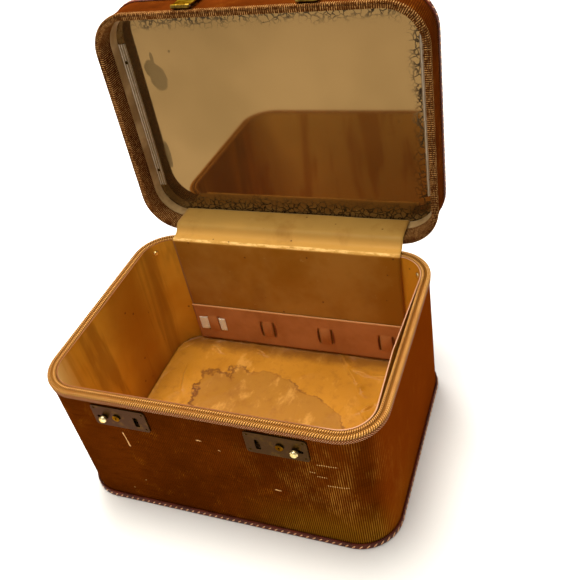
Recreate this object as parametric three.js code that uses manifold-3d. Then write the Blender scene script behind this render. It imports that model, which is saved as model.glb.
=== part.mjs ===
// Makeup train case, cloth covered, standing with its mirror lid open.
// Millimetres. X runs to the right, Y to the back and Z up.
// The origin is the centre of the case's underside.

import * as THREE from 'three';
import { LoftGeometry } from 'three/addons/geometries/LoftGeometry.js';
import { mergeVertices } from 'three/addons/utils/BufferGeometryUtils.js';
import Module from 'manifold-3d';

const wasm = await Module();
wasm.setup();

// ---------------------------------------------------------------- dimensions

// Body shell
const BODY_WIDTH = 340;
const BODY_DEPTH = 251;
const BODY_HEIGHT = 162.8;
const BODY_RADIUS = 40;
const CORNER_STEPS = 8;

// Lid shell and its hinge line
const LID_WIDTH = 343;
const LID_DEPTH = 254;
const LID_RADIUS = 41.5;
const LID_HEIGHT = 45.3;
const LID_RIM_Z = 163.3;
const LID_OPEN_DEG = 91;
const HINGE_Y = 131.5;
const HINGE_Z = 161.3;

// Clearance left between pieces that touch
const GAP = 0.3;

// Wall build-up, counted inwards from the outside of the cloth
const CLOTH = 0.8;
const BODY_WALL = 7.4;
const BODY_LINER = 8.9;
const LID_WALL = 5.0;
const LID_TURN_IN = 6.0;
const LID_LINER = 6.5;

// Floor and rim
const BASE_TOP = 4.7;
const BASE_BINDING_HEIGHT = 8;
const RIM_BINDING_DROP = 8;
const PAD_TOP = 9.6;

// Mirror
const MIRROR_FACE = 32.7;
const MIRROR_THICK = 3;
const STRIP_WIDTH = 9;
const STRIP_LENGTH = 172;
const STRIP_PIN_OFFSET = 66;

// Back wall furniture
const BACK_PANEL_HALF = 135;
const STRAP_BOTTOM = 10.5;
const STRAP_TOP = 66;
const SLIT_PITCH = 74;
const SLIT_SPACING = 16;
const STAY_RIVET_ANGLE = 34;
const STAY_RIVET_Z = 151;

// Hinges
const HINGE_X = 105;
const HINGE_LENGTH = 36;
const HINGE_KNUCKLE = 2.6;
const HINGE_PIN = 1.1;

// Latches
const LATCH_X = 79;
const LATCH_Z = 138;
const LATCH_LENGTH = 59;
const LATCH_HEIGHT = 27;
const LATCH_TRAVEL = 6;
const SLOT_X = 61.5;
const SLOT_Z = 136.5;
const KEY_X = 82.5;
const KEY_Z = 138.5;
const KNOB_X = 96.5;
const KNOB_Z = 136.5;

// Hasps
const HASP_X = 63.5;
const HASP_WIDTH = 20;
const HASP_AXIS_Y = -130.8;
const HASP_AXIS_RISE = 5;
const HASP_END_Z = 130.6;

// Carrying handle
const HANDLE_HALF = 52;
const HANDLE_REACH = 34;
const HANDLE_AXIS = 54;
const GRIP_LENGTH = 82;

const FRONT = -BODY_DEPTH / 2;
const BACK = BODY_DEPTH / 2;

// ------------------------------------------------------------------- colours

const FINISHES = {
  cloth: [0x4b2406, 0.6, 0],
  binding: [0xb98a4a, 0.8, 0],
  leather: [0x4a2418, 0.55, 0],
  wood: [0x9a7048, 0.8, 0],
  card: [0x8a5418, 0.75, 0],
  lining: [0xb48848, 0.6, 0],
  satin: [0xd0903c, 0.45, 0],
  elastic: [0xf0e2c0, 0.85, 0],
  glass: [0x9a8450, 0.08, 1],
  plastic: [0xd8cdb0, 0.25, 0],
  brass: [0x8a6424, 0.4, 1],
  steel: [0x9a948a, 0.4, 1],
};

function finish(name) {
  const [color, roughness, metalness] = FINISHES[name];
  return new THREE.MeshStandardMaterial({ color, roughness, metalness });
}

function piece(parent, name, look, geometry) {
  const mesh = new THREE.Mesh(geometry, finish(look));
  mesh.name = name;
  parent.add(mesh);
  return mesh;
}

// ------------------------------------------------------------ solid helpers

function toSolid(geometry) {
  const bare = new THREE.BufferGeometry().copy(geometry);
  bare.deleteAttribute('normal');
  bare.deleteAttribute('uv');
  const welded = mergeVertices(bare, 1e-4);
  const vertProperties = new Float32Array(welded.attributes.position.array);
  const triVerts = new Uint32Array(welded.index.array);
  return new wasm.Manifold(new wasm.Mesh({ numProp: 3, vertProperties, triVerts }));
}

function toGeometry(solid) {
  const mesh = solid.getMesh();
  const geometry = new THREE.BufferGeometry();
  geometry.setAttribute('position', new THREE.BufferAttribute(mesh.vertProperties, 3));
  geometry.setIndex(new THREE.BufferAttribute(mesh.triVerts, 1));
  return geometry;
}

function join(...geometries) {
  const solids = geometries.map(toSolid);
  return toGeometry(solids.reduce((sum, next) => sum.add(next)));
}

function cut(geometry, ...tools) {
  const start = toSolid(geometry);
  return toGeometry(tools.map(toSolid).reduce((rest, tool) => rest.subtract(tool), start));
}

// A box given by its [low, high] range along each axis.
function block(x, y, z) {
  const geometry = new THREE.BoxGeometry(x[1] - x[0], y[1] - y[0], z[1] - z[0]);
  return geometry.translate((x[0] + x[1]) / 2, (y[0] + y[1]) / 2, (z[0] + z[1]) / 2);
}

// A [low, high] range given by its middle and its length.
function around(middle, length) {
  return [middle - length / 2, middle + length / 2];
}

// A round bar along an axis, from one end to the other.
function bar(axis, centre, radius, ends, sides = 16) {
  const geometry = new THREE.CylinderGeometry(radius, radius, ends[1] - ends[0], sides);
  const middle = (ends[0] + ends[1]) / 2;
  if (axis === 'x') {
    return geometry.rotateZ(Math.PI / 2).translate(middle, centre[0], centre[1]);
  }
  if (axis === 'y') {
    return geometry.translate(centre[0], middle, centre[1]);
  }
  return geometry.rotateX(Math.PI / 2).translate(centre[0], centre[1], middle);
}

// A small domed head that looks out along -Y.
function frontDome(x, y, z, radius, rise) {
  const profile = [];
  for (let i = 0; i <= 3; i += 1) {
    const angle = (i / 3) * (Math.PI / 2);
    profile.push(new THREE.Vector2(radius * Math.cos(angle), rise * Math.sin(angle)));
  }
  profile[3].x = 0;
  profile.unshift(new THREE.Vector2(radius, -GAP));
  profile.unshift(new THREE.Vector2(0, -GAP));
  return new THREE.LatheGeometry(profile, 12).rotateX(Math.PI).translate(x, y, z);
}

// Corner-rounded outline, counterclockwise, moved inwards by an inset.
function outline(width, depth, radius, inset) {
  const points = [];
  const corners = [[1, 1], [-1, 1], [-1, -1], [1, -1]];
  corners.forEach(([sx, sy], corner) => {
    for (let step = 0; step <= CORNER_STEPS; step += 1) {
      const angle = (corner + step / CORNER_STEPS) * (Math.PI / 2);
      const x = sx * (width / 2 - radius) + (radius - inset) * Math.cos(angle);
      const y = sy * (depth / 2 - radius) + (radius - inset) * Math.sin(angle);
      points.push(new THREE.Vector2(x, y));
    }
  });
  return points;
}

// A flat sheet with rounded corners between two heights.
function sheet(size, inset, low, high) {
  const shape = new THREE.Shape(outline(...size, inset));
  return new THREE.ExtrudeGeometry(shape, { depth: high - low, bevelEnabled: false })
    .translate(0, 0, low);
}

// A hoop round the case: a profile of [inset, height] corners swept round the outline.
// The profile runs counterclockwise with the inset to the right.
function hoop(size, profile) {
  const tracks = profile.map(([inset]) => outline(...size, inset));
  const sections = tracks[0].map((_, station) => profile.map(
    ([, height], corner) => new THREE.Vector3(
      tracks[corner][station].x,
      tracks[corner][station].y,
      height,
    ),
  ));
  sections.push(sections[0].map((point) => point.clone()));
  return new LoftGeometry(sections);
}

// A rectangular hoop profile with optional cut corners.
function bar4(insets, heights, chamfer = 0) {
  const [a, b] = insets;
  const [low, high] = heights;
  if (chamfer === 0) {
    return [[a, low], [b, low], [b, high], [a, high]];
  }
  return [
    [a + chamfer, low], [b - chamfer, low], [b, low + chamfer], [b, high - chamfer],
    [b - chamfer, high], [a + chamfer, high], [a, high - chamfer], [a, low + chamfer],
  ];
}

// A shape drawn in Y and Z, pushed along X.
function alongX(points, ends) {
  const shape = new THREE.Shape(points.map(([y, z]) => new THREE.Vector2(y, z)));
  const geometry = new THREE.ExtrudeGeometry(shape, {
    depth: ends[1] - ends[0],
    bevelEnabled: false,
  });
  const turn = new THREE.Matrix4().makeBasis(
    new THREE.Vector3(0, 1, 0),
    new THREE.Vector3(0, 0, 1),
    new THREE.Vector3(1, 0, 0),
  );
  return geometry.applyMatrix4(turn).translate(ends[0], 0, 0);
}

// A shape drawn in X and Z, pushed along Y between two depths.
function alongY(shape, ends) {
  const geometry = new THREE.ExtrudeGeometry(shape, {
    depth: ends[1] - ends[0],
    bevelEnabled: false,
    curveSegments: 3,
  });
  const turn = new THREE.Matrix4().makeBasis(
    new THREE.Vector3(1, 0, 0),
    new THREE.Vector3(0, 0, 1),
    new THREE.Vector3(0, -1, 0),
  );
  return geometry.applyMatrix4(turn).translate(0, ends[1], 0);
}

// The outline of a bent strip: a line and the same line moved sideways.
// A positive thickness lies to the left of the line's direction.
function strip(line, thickness) {
  const moved = line.map((point, i) => {
    const before = line[Math.max(i - 1, 0)];
    const after = line[Math.min(i + 1, line.length - 1)];
    const normals = [[before, point], [point, after]]
      .filter(([a, b]) => a !== b)
      .map(([a, b]) => {
        const length = Math.hypot(b[0] - a[0], b[1] - a[1]);
        return [-(b[1] - a[1]) / length, (b[0] - a[0]) / length];
      });
    const sum = normals.reduce((t, n) => [t[0] + n[0], t[1] + n[1]], [0, 0]);
    const scale = (normals.length * thickness) / (sum[0] ** 2 + sum[1] ** 2);
    return [point[0] + sum[0] * scale, point[1] + sum[1] * scale];
  });
  const points = [...line, ...moved.reverse()];
  return thickness > 0 ? points.reverse() : points;
}

function roundedRectangle(centre, width, height, radius) {
  const [left, right] = around(centre[0], width);
  const [low, high] = around(centre[1], height);
  const shape = new THREE.Shape();
  shape.absarc(right - radius, low + radius, radius, -Math.PI / 2, 0);
  shape.absarc(right - radius, high - radius, radius, 0, Math.PI / 2);
  shape.absarc(left + radius, high - radius, radius, Math.PI / 2, Math.PI);
  shape.absarc(left + radius, low + radius, radius, Math.PI, 1.5 * Math.PI);
  return shape;
}

// A rod bent along a path of points.
function bentRod(points, radius, sides, steps) {
  const shape = new THREE.Shape();
  shape.absarc(0, 0, radius, 0, 2 * Math.PI);
  const path = new THREE.CatmullRomCurve3(points, false, 'centripetal');
  return new THREE.ExtrudeGeometry(shape, {
    steps,
    curveSegments: sides / 2,
    bevelEnabled: false,
    extrudePath: path,
  });
}

const body = [BODY_WIDTH, BODY_DEPTH, BODY_RADIUS];
const lidSize = [LID_WIDTH, LID_DEPTH, LID_RADIUS];
const SIDES = [['left', -1], ['right', 1]];

// ------------------------------------------------------------------- groups

const group = new THREE.Group();

// Everything on the lid is drawn as it sits when closed, with heights from the lid's rim.
const lidSwing = new THREE.Group();
lidSwing.position.set(0, HINGE_Y, HINGE_Z);
lidSwing.rotation.x = THREE.MathUtils.degToRad(-LID_OPEN_DEG);
group.add(lidSwing);
const lid = new THREE.Group();
lid.position.set(0, -HINGE_Y, LID_RIM_Z - HINGE_Z);
lidSwing.add(lid);

// --------------------------------------------------------------- body shell

// The pocket behind each latch plate, through the cloth and part of the wall.
const POCKET_X = [54, 105.5];
const POCKET_Z = [128.5, 147.5];
const POCKET_FLOOR = FRONT + 5.7;

function pocket(side) {
  const x = side < 0 ? [-POCKET_X[1], -POCKET_X[0]] : POCKET_X;
  return block(x, [FRONT - 2, POCKET_FLOOR], POCKET_Z);
}

const bindingLow = BODY_HEIGHT - RIM_BINDING_DROP;
const wallTop = bindingLow - GAP;
const bothPockets = SIDES.map(([, side]) => pocket(side));

piece(group, 'base_board', 'leather', sheet(body, 0, 0, BASE_TOP));
piece(group, 'body_wall', 'wood', cut(hoop(body, [
  [CLOTH + GAP, BASE_TOP + GAP], [BODY_WALL, BASE_TOP + GAP], [BODY_WALL, wallTop],
  [3.7, wallTop], [3.7, BODY_HEIGHT - 2.3], [2.6, BODY_HEIGHT - 2.3], [2.6, wallTop],
  [CLOTH + GAP, wallTop],
]), ...bothPockets));
piece(group, 'body_cover', 'cloth', cut(
  hoop(body, bar4([0, CLOTH], [BASE_TOP + GAP, wallTop])),
  ...bothPockets,
));
piece(group, 'base_binding', 'leather', hoop(
  body,
  bar4([-2.3, -GAP], [0, BASE_BINDING_HEIGHT], 0.6),
));
piece(group, 'rim_binding_outer', 'binding', hoop(
  body,
  bar4([-1.8, 2.3], [bindingLow, BODY_HEIGHT], 1),
));
piece(group, 'rim_binding_inner', 'binding', hoop(
  body,
  bar4([4, 7.4], [bindingLow + 0.4, BODY_HEIGHT], 1),
));
piece(group, 'body_liner', 'card', hoop(
  body,
  bar4([BODY_WALL + GAP, BODY_LINER], [BASE_TOP + GAP, BODY_HEIGHT - 0.5]),
));

// The floor pad, a sheet with a softened upper edge.
piece(group, 'base_pad', 'satin', join(
  sheet(body, BODY_LINER + 0.4, BASE_TOP + GAP, PAD_TOP - 1.2),
  sheet(body, BODY_LINER + 1.8, PAD_TOP - 2, PAD_TOP),
));

// Rivets that held the lid stay, on the lining in the two back corners.
for (const [name, side] of SIDES) {
  const angle = THREE.MathUtils.degToRad(STAY_RIVET_ANGLE);
  const reach = BODY_RADIUS - BODY_LINER - 1.2;
  const head = new THREE.CylinderGeometry(2.4, 3.2, 1.3, 12)
    .rotateZ(Math.PI / 2 + angle)
    .translate(
      BODY_WIDTH / 2 - BODY_RADIUS + reach * Math.cos(angle),
      BACK - BODY_RADIUS + reach * Math.sin(angle),
      STAY_RIVET_Z,
    );
  const turned = side > 0 ? head : head.rotateY(Math.PI).translate(0, 0, 2 * STAY_RIVET_Z);
  piece(group, `stay_rivet_${name}`, 'brass', turned);
}

// ---------------------------------------------------- back wall furniture

const liningBack = BACK - BODY_LINER;
piece(group, 'back_panel', 'card', block(
  [-BACK_PANEL_HALF, BACK_PANEL_HALF],
  [liningBack - 1.6, liningBack - 0.7],
  [PAD_TOP + GAP, BODY_HEIGHT - 1.3],
));

// The cloth that closes the gap between body and lid, glued down the back panel.
const flapBack = liningBack - 1.9;
piece(group, 'hinge_flap', 'lining', alongX(strip([
  [flapBack, PAD_TOP + GAP * 2], [flapBack, BODY_HEIGHT - 0.2], [flapBack + 1.3, BODY_HEIGHT + 1.1],
  [BACK, BODY_HEIGHT + 1.5], [HINGE_Y + 1.2, HINGE_Z + 11.7], [HINGE_Y + 34, HINGE_Z + 12],
], 0.8), [-BACK_PANEL_HALF, BACK_PANEL_HALF]));

const strapShape = roundedRectangle(
  [0, (STRAP_BOTTOM + STRAP_TOP) / 2],
  2 * BACK_PANEL_HALF,
  STRAP_TOP - STRAP_BOTTOM,
  2,
);
const slitCentres = [-1.5, -0.5, 0.5, 1.5].flatMap((k) => [
  k * SLIT_PITCH - SLIT_SPACING / 2,
  k * SLIT_PITCH + SLIT_SPACING / 2,
]);
const strapFront = flapBack - 2.9;
const slits = slitCentres.map(
  (x) => block(around(x, 1.6), [strapFront - 1, strapFront + 2], [25, 48.5]),
);
piece(group, 'bottle_strap', 'lining', cut(
  alongY(strapShape, [strapFront, strapFront + 0.9]),
  ...slits,
));

// The elastic passes behind the strap between the two left slits and shows on both sides.
const ribbonMiddle = -1.5 * SLIT_PITCH;
const ribbonBack = strapFront + 1.2;
const ribbonFront = strapFront - GAP;
const ribbonSide = SLIT_SPACING / 2;
const ribbonX = [
  ribbonMiddle - ribbonSide - 10, ribbonMiddle - ribbonSide - 0.3,
  ribbonMiddle + ribbonSide - 0.3, ribbonMiddle + ribbonSide + 9,
];
const ribbon = join(
  block([ribbonX[0], ribbonX[1] + 0.6], [ribbonFront - 0.6, ribbonFront], [26.5, 47]),
  block([ribbonX[1], ribbonX[1] + 0.6], [ribbonFront - 0.3, ribbonBack + 0.3], [26.5, 47]),
  block([ribbonX[1], ribbonX[2] + 0.6], [ribbonBack, ribbonBack + 0.5], [26.5, 47]),
  block([ribbonX[2], ribbonX[2] + 0.6], [ribbonFront - 0.3, ribbonBack + 0.3], [26.5, 47]),
  block([ribbonX[2], ribbonX[3]], [ribbonFront - 0.6, ribbonFront], [26.5, 47]),
);
piece(group, 'elastic_ribbon', 'elastic', ribbon);

// ---------------------------------------------------------------- lid shell

const lidCoverTop = 40;
const lidPanelTop = 44;
piece(lid, 'lid_wall', 'wood', hoop(lidSize, [
  [1.9, 0.8], [LID_WALL, 0.8], [LID_WALL, lidCoverTop], [CLOTH + GAP, lidCoverTop],
  [CLOTH + GAP, 6.3], [1.9, 6.3],
]));
piece(lid, 'lid_panel', 'wood', sheet(lidSize, 0, lidCoverTop + GAP, lidPanelTop));
piece(lid, 'lid_cover', 'cloth', hoop(lidSize, bar4([0, CLOTH], [6.3, lidCoverTop])));
piece(lid, 'lid_top_cover', 'cloth', sheet(lidSize, 3.3, lidPanelTop + GAP, 45));
piece(lid, 'lid_top_binding', 'leather', hoop(lidSize, [
  [-1.5, 37], [-GAP, 37], [-GAP, lidPanelTop + GAP], [3, lidPanelTop + GAP],
  [3, LID_HEIGHT], [-0.7, LID_HEIGHT], [-1.5, LID_HEIGHT - 0.8],
]));
piece(lid, 'lid_rim_binding', 'binding', hoop(lidSize, bar4([-1, 1.6], [0, 6], 0.7)));

// Striped cloth turned over the rim and 20 mm down the inside, then the satin band.
piece(lid, 'lid_turn_in', 'cloth', hoop(lidSize, [
  [1.9, 0], [LID_TURN_IN, 0], [LID_TURN_IN, 20], [LID_WALL + GAP, 20],
  [LID_WALL + GAP, 0.5], [1.9, 0.5],
]));
piece(lid, 'lid_liner', 'satin', hoop(
  lidSize,
  bar4([LID_WALL + GAP, LID_LINER], [20.3, MIRROR_FACE - GAP]),
));

// ------------------------------------------------------------------- mirror

const mirrorBack = MIRROR_FACE + MIRROR_THICK;
piece(lid, 'mirror', 'glass', sheet(lidSize, LID_WALL + 0.4, MIRROR_FACE, mirrorBack));
piece(lid, 'mirror_backing', 'card', sheet(
  lidSize,
  LID_WALL + 0.4,
  mirrorBack + GAP,
  lidCoverTop,
));
for (const [name, side] of SIDES) {
  const outerEdge = LID_WIDTH / 2 - LID_LINER - GAP;
  const middle = side * (outerEdge - STRIP_WIDTH / 2);
  const stripTop = MIRROR_FACE - GAP;
  piece(lid, `mirror_strip_${name}`, 'plastic', block(
    around(middle, STRIP_WIDTH),
    around(0, STRIP_LENGTH),
    [stripTop - 1.2, stripTop],
  ));
  for (const [end, way] of [['upper', -1], ['lower', 1]]) {
    const pin = new THREE.CylinderGeometry(2, 1.3, 0.9, 12)
      .rotateX(Math.PI / 2)
      .translate(middle, way * STRIP_PIN_OFFSET, stripTop - 1.2 - GAP - 0.45);
    piece(lid, `strip_pin_${name}_${end}`, 'brass', pin);
  }
}

// ------------------------------------------------------------------- hinges

// Both leaves are stepped strips with knuckles round the pin and domed rivet heads.
const knuckleThird = HINGE_LENGTH / 3;
const boreRadius = HINGE_PIN + GAP;

function rivetHeads(x, y, heights) {
  return heights.flatMap((z) => [-11, 11].map(
    (dx) => new THREE.SphereGeometry(1.6, 10, 6).scale(1, 0.6, 1).translate(x + dx, y, z),
  ));
}

for (const [name, side] of SIDES) {
  const x = side * HINGE_X;
  const span = around(x, HINGE_LENGTH);
  const outerKnuckles = [
    [span[0], span[0] + knuckleThird - GAP],
    [span[1] - knuckleThird + GAP, span[1]],
  ];
  const middleKnuckle = [span[0] + knuckleThird, span[1] - knuckleThird];

  const bodyStrip = alongX(strip([
    [BACK + GAP, 132], [BACK + GAP, 152], [BACK + 2.2, 154.2], [BACK + 2.2, 160.2],
  ], -1.2), span);
  const bodyKnuckles = outerKnuckles.map((ends) => join(
    bar('x', [HINGE_Y, HINGE_Z], HINGE_KNUCKLE, ends),
    block(ends, [BACK + 2.4, HINGE_Y], [158.8, 160.1]),
  ));
  const notch = block(middleKnuckle, [BACK + 1, HINGE_Y], [158.4, 165]);
  piece(group, `hinge_body_leaf_${name}`, 'steel', cut(
    join(cut(bodyStrip, notch), ...bodyKnuckles, ...rivetHeads(x, BACK + 1.4, [137, 147])),
    bar('x', [HINGE_Y, HINGE_Z], boreRadius, [span[0] - 1, span[1] + 1]),
  ));

  const lidBack = LID_DEPTH / 2;
  const lidAxisZ = HINGE_Z - LID_RIM_Z;
  const lidStrip = alongX(strip([
    [lidBack + GAP, 29], [lidBack + GAP, 10], [lidBack + 1.3, 8.5], [lidBack + 1.3, -0.6],
  ], 1.2), span);
  const lidNotches = outerKnuckles.map(
    ([low, high]) => block([low - GAP, high + GAP], [lidBack, HINGE_Y + 3], [-6, 1.2]),
  );
  piece(lid, `hinge_lid_leaf_${name}`, 'steel', cut(
    join(
      cut(lidStrip, ...lidNotches),
      bar('x', [HINGE_Y, lidAxisZ], HINGE_KNUCKLE, middleKnuckle),
      block(middleKnuckle, [lidBack + 1.5, HINGE_Y], [lidAxisZ + 1.1, lidAxisZ + 2.5]),
      ...rivetHeads(x, lidBack + 1.4, [15, 24]),
    ),
    bar('x', [HINGE_Y, lidAxisZ], boreRadius, [span[0] - 1, span[1] + 1]),
  ));

  piece(group, `hinge_pin_${name}`, 'steel', bar(
    'x',
    [HINGE_Y, HINGE_Z],
    HINGE_PIN,
    [span[0] - 0.8, span[1] + 0.8],
    12,
  ));
}

// ------------------------------------------------------------------ latches

const plateBack = FRONT - GAP;
const plateFront = plateBack - 1.3;
const boltBack = POCKET_FLOOR - 2.4;
const boltFront = boltBack - 2;
const springZ = 131.2;

for (const [name, side] of SIDES) {
  const at = (x) => side * x;
  const span = (low, high) => (side > 0 ? [low, high] : [-high, -low]);

  // Plate with the hasp slot, the key hole and the slot the knob's stem runs in.
  const outlineShape = roundedRectangle([at(LATCH_X), LATCH_Z], LATCH_LENGTH, LATCH_HEIGHT, 3);
  const haspSlot = new THREE.Path(
    roundedRectangle([at(SLOT_X), SLOT_Z], 5, 12.4, 0.8).getPoints(3),
  );
  const stemSlot = new THREE.Path(roundedRectangle(
    [at(KNOB_X + LATCH_TRAVEL / 2), KNOB_Z],
    LATCH_TRAVEL + 3.6,
    3.6,
    1.7,
  ).getPoints(3));
  const keyHole = new THREE.Path(Array.from({ length: 16 }, (_, i) => new THREE.Vector2(
    at(KEY_X) + 3.2 * Math.cos((i / 8) * Math.PI),
    KEY_Z + 3.2 * Math.sin((i / 8) * Math.PI),
  )));
  outlineShape.holes.push(haspSlot, stemSlot, keyHole);
  const plateRivets = [-1, 1].flatMap((sx) => [-1, 1].map((sz) => frontDome(
    at(LATCH_X) + sx * (LATCH_LENGTH / 2 - 3.5),
    plateFront,
    LATCH_Z + sz * (LATCH_HEIGHT / 2 - 3.5),
    1.4,
    0.7,
  )));
  piece(group, `latch_plate_${name}`, 'brass', join(
    alongY(outlineShape, [plateFront, plateBack]),
    ...plateRivets,
  ));

  // Sliding bolt: a flat bar with a lug under it for the spring.
  const boltY = [boltFront, boltBack];
  piece(group, `latch_bolt_${name}`, 'brass', join(
    block(span(57.2, 98.8), boltY, [133.6, 139.4]),
    block(span(77.5, 79.5), boltY, [springZ - 1.9, 134]),
  ));

  // Return spring, from the bolt's lug to the end of the pocket.
  const springStart = 80;
  const springEnd = POCKET_X[1] - 0.7;
  const turns = 6;
  const springPoints = [];
  for (let i = 0; i <= turns * 8; i += 1) {
    const angle = (i / 8) * 2 * Math.PI;
    springPoints.push(new THREE.Vector3(
      at(springStart + (i / (turns * 8)) * (springEnd - springStart)),
      (boltFront + boltBack) / 2 + 1.2 * Math.cos(angle),
      springZ + 1.2 * Math.sin(angle),
    ));
  }
  piece(group, `latch_spring_${name}`, 'steel', bentRod(springPoints, 0.3, 4, turns * 8));

  // Knob on its stem, mushroom shaped.
  const knobProfile = [
    [0, 0], [1.4, 0], [1.4, 3.4], [3.2, 3.4], [4, 4.3], [3.9, 6.4], [2.8, 7.8], [0, 8.4],
  ].map(([r, h]) => new THREE.Vector2(r, h));
  piece(group, `latch_knob_${name}`, 'brass', new THREE.LatheGeometry(knobProfile, 16)
    .rotateX(Math.PI)
    .translate(at(KNOB_X), boltFront - GAP, KNOB_Z));

  // Key barrel with its eyelet flange and a keyhole.
  const barrelProfile = [
    [0, 0], [2.8, 0], [2.8, 3.3], [3.9, 3.3], [3.9, 3.9], [3.2, 4.3], [0, 4.3],
  ].map(([r, h]) => new THREE.Vector2(r, h));
  const barrelBack = boltFront - 0.4;
  const barrel = new THREE.LatheGeometry(barrelProfile, 16)
    .rotateX(Math.PI)
    .translate(at(KEY_X), barrelBack, KEY_Z);
  const keyway = [barrelBack - 5, barrelBack - 2];
  piece(group, `key_barrel_${name}`, 'brass', cut(
    barrel,
    bar('y', [at(KEY_X), KEY_Z + 0.6], 0.9, keyway, 10),
    block(around(at(KEY_X), 0.9), keyway, [KEY_Z - 1.9, KEY_Z + 0.6]),
  ));
}

// -------------------------------------------------------------------- hasps

// Each hasp is drawn as it locks, hanging over the closed seam, then folded back up.
const haspPlate = [HASP_AXIS_Y + 0.1, HASP_AXIS_Y + 1.3];
const haspKnuckle = 2.3;
const haspBore = 1.2;
const haspPinRadius = 0.9;

for (const [name, side] of SIDES) {
  const x = side * HASP_X;
  const span = around(x, HASP_WIDTH);
  const centreSpan = around(x, HASP_WIDTH / 2);
  const endSpans = [[span[0], centreSpan[0] - GAP], [centreSpan[1] + GAP, span[1]]];
  const lidFront = -LID_DEPTH / 2;

  // Bracket: a plate on the lid's front wall with a knuckle at each end.
  const bracketKnuckles = endSpans.map((ends) => join(
    bar('x', [HASP_AXIS_Y, HASP_AXIS_RISE], haspKnuckle, ends, 12),
    block(ends, [HASP_AXIS_Y + 0.6, lidFront - 1.4], [HASP_AXIS_RISE, HASP_AXIS_RISE + 3.4]),
  ));
  piece(lid, `hasp_bracket_${name}`, 'brass', cut(
    join(
      block(span, [lidFront - 1.6, lidFront - GAP], [HASP_AXIS_RISE + 2.8, 22]),
      ...bracketKnuckles,
    ),
    bar('x', [HASP_AXIS_Y, HASP_AXIS_RISE], haspBore, [span[0] - 1, span[1] + 1], 12),
  ));
  piece(lid, `hasp_pin_${name}`, 'steel', bar(
    'x',
    [HASP_AXIS_Y, HASP_AXIS_RISE],
    haspPinRadius,
    [span[0] - 0.6, span[1] + 0.6],
    12,
  ));

  // Folding group: its origin is the hasp's own axis.
  const fold = new THREE.Group();
  fold.position.set(0, HASP_AXIS_Y, HASP_AXIS_RISE);
  fold.rotation.x = -Math.PI;
  lid.add(fold);
  const drop = LID_RIM_Z + HASP_AXIS_RISE;
  const staple = cut(
    block(
      around(side * SLOT_X, 2.6),
      [haspPlate[0], POCKET_FLOOR - 0.9],
      around(SLOT_Z, 10.4),
    ),
    block(around(side * SLOT_X, 6), [boltFront - 0.8, boltBack + 0.7], around(SLOT_Z, 6.8)),
  );
  const hasp = cut(
    join(
      block(span, haspPlate, [HASP_END_Z, drop - haspKnuckle - 0.6]),
      block(centreSpan, haspPlate, [HASP_END_Z, drop]),
      bar('x', [HASP_AXIS_Y, drop], haspKnuckle, centreSpan, 12),
      staple,
    ),
    bar('x', [HASP_AXIS_Y, drop], haspBore, [span[0], span[1]], 12),
  );
  hasp.translate(0, -HASP_AXIS_Y, -drop);
  piece(fold, `hasp_${name}`, 'brass', hasp);
}

// ------------------------------------------------------------------- handle

// Two brackets on the lid's top carry a steel bail with a leather grip.
const bracketBase = [LID_HEIGHT, LID_HEIGHT + 1.4];
const bailRadius = 2;
for (const [name, side] of SIDES) {
  const x = side * HANDLE_HALF;
  const ears = [-3.3, 3.3].map(
    (dx) => block(around(x + dx, 1.6), [-4.5, 4.5], [bracketBase[0], HANDLE_AXIS + 4]),
  );
  piece(lid, `handle_bracket_${name}`, 'brass', cut(
    join(block(around(x, 16), [-9, 9], bracketBase), ...ears),
    bar('x', [0, HANDLE_AXIS], 1.5, around(x, 20), 12),
  ));
  piece(lid, `handle_pin_${name}`, 'steel', bar('x', [0, HANDLE_AXIS], 1.2, around(x, 9.4), 12));
}

const bailBend = 7;
const bailPath = [
  [-HANDLE_HALF, 3], [-HANDLE_HALF, HANDLE_REACH - bailBend * 2],
  [-HANDLE_HALF, HANDLE_REACH - bailBend], [-HANDLE_HALF + 2, HANDLE_REACH - 2],
  [-HANDLE_HALF + bailBend, HANDLE_REACH], [-GRIP_LENGTH / 2 + 1, HANDLE_REACH],
  [-GRIP_LENGTH / 2 + 6, HANDLE_REACH], [GRIP_LENGTH / 2 - 6, HANDLE_REACH],
  [GRIP_LENGTH / 2 - 1, HANDLE_REACH], [HANDLE_HALF - bailBend, HANDLE_REACH],
  [HANDLE_HALF - 2, HANDLE_REACH - 2], [HANDLE_HALF, HANDLE_REACH - bailBend],
  [HANDLE_HALF, HANDLE_REACH - bailBend * 2], [HANDLE_HALF, 3],
].map(([x, y]) => new THREE.Vector3(x, y, HANDLE_AXIS));
const bailEnds = [-1, 1].map(
  (side) => bar('x', [0, HANDLE_AXIS], 3.6, around(side * HANDLE_HALF, 4.4), 16),
);
const bailBores = bar('x', [0, HANDLE_AXIS], 1.5, [-HANDLE_HALF - 5, HANDLE_HALF + 5], 12);
piece(lid, 'handle_bail', 'steel', cut(
  join(bentRod(bailPath, bailRadius, 8, 44), ...bailEnds),
  bailBores,
));

const gripBore = bailRadius + 2 * GAP;
const gripProfile = [
  [gripBore, -GRIP_LENGTH / 2], [6, -GRIP_LENGTH / 2], [7, -GRIP_LENGTH / 2 + 2],
  [7.6, 0], [7, GRIP_LENGTH / 2 - 2], [6, GRIP_LENGTH / 2], [gripBore, GRIP_LENGTH / 2],
  [gripBore, -GRIP_LENGTH / 2],
].map(([r, h]) => new THREE.Vector2(r, h));
piece(lid, 'handle_grip', 'leather', new THREE.LatheGeometry(gripProfile, 16)
  .rotateZ(-Math.PI / 2)
  .translate(0, HANDLE_REACH, HANDLE_AXIS));

export default group;
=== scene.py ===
"""Makeup train case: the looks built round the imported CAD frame.

Sizes in the helpers are millimetres in the CAD frame (X right, Y back, Z up, origin at the
centre of the underside). build() turns them into metres. Lid pieces are drawn as they sit on
the closed case, with heights counted from the lid's rim, and LID moves them to the open pose.
"""

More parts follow.
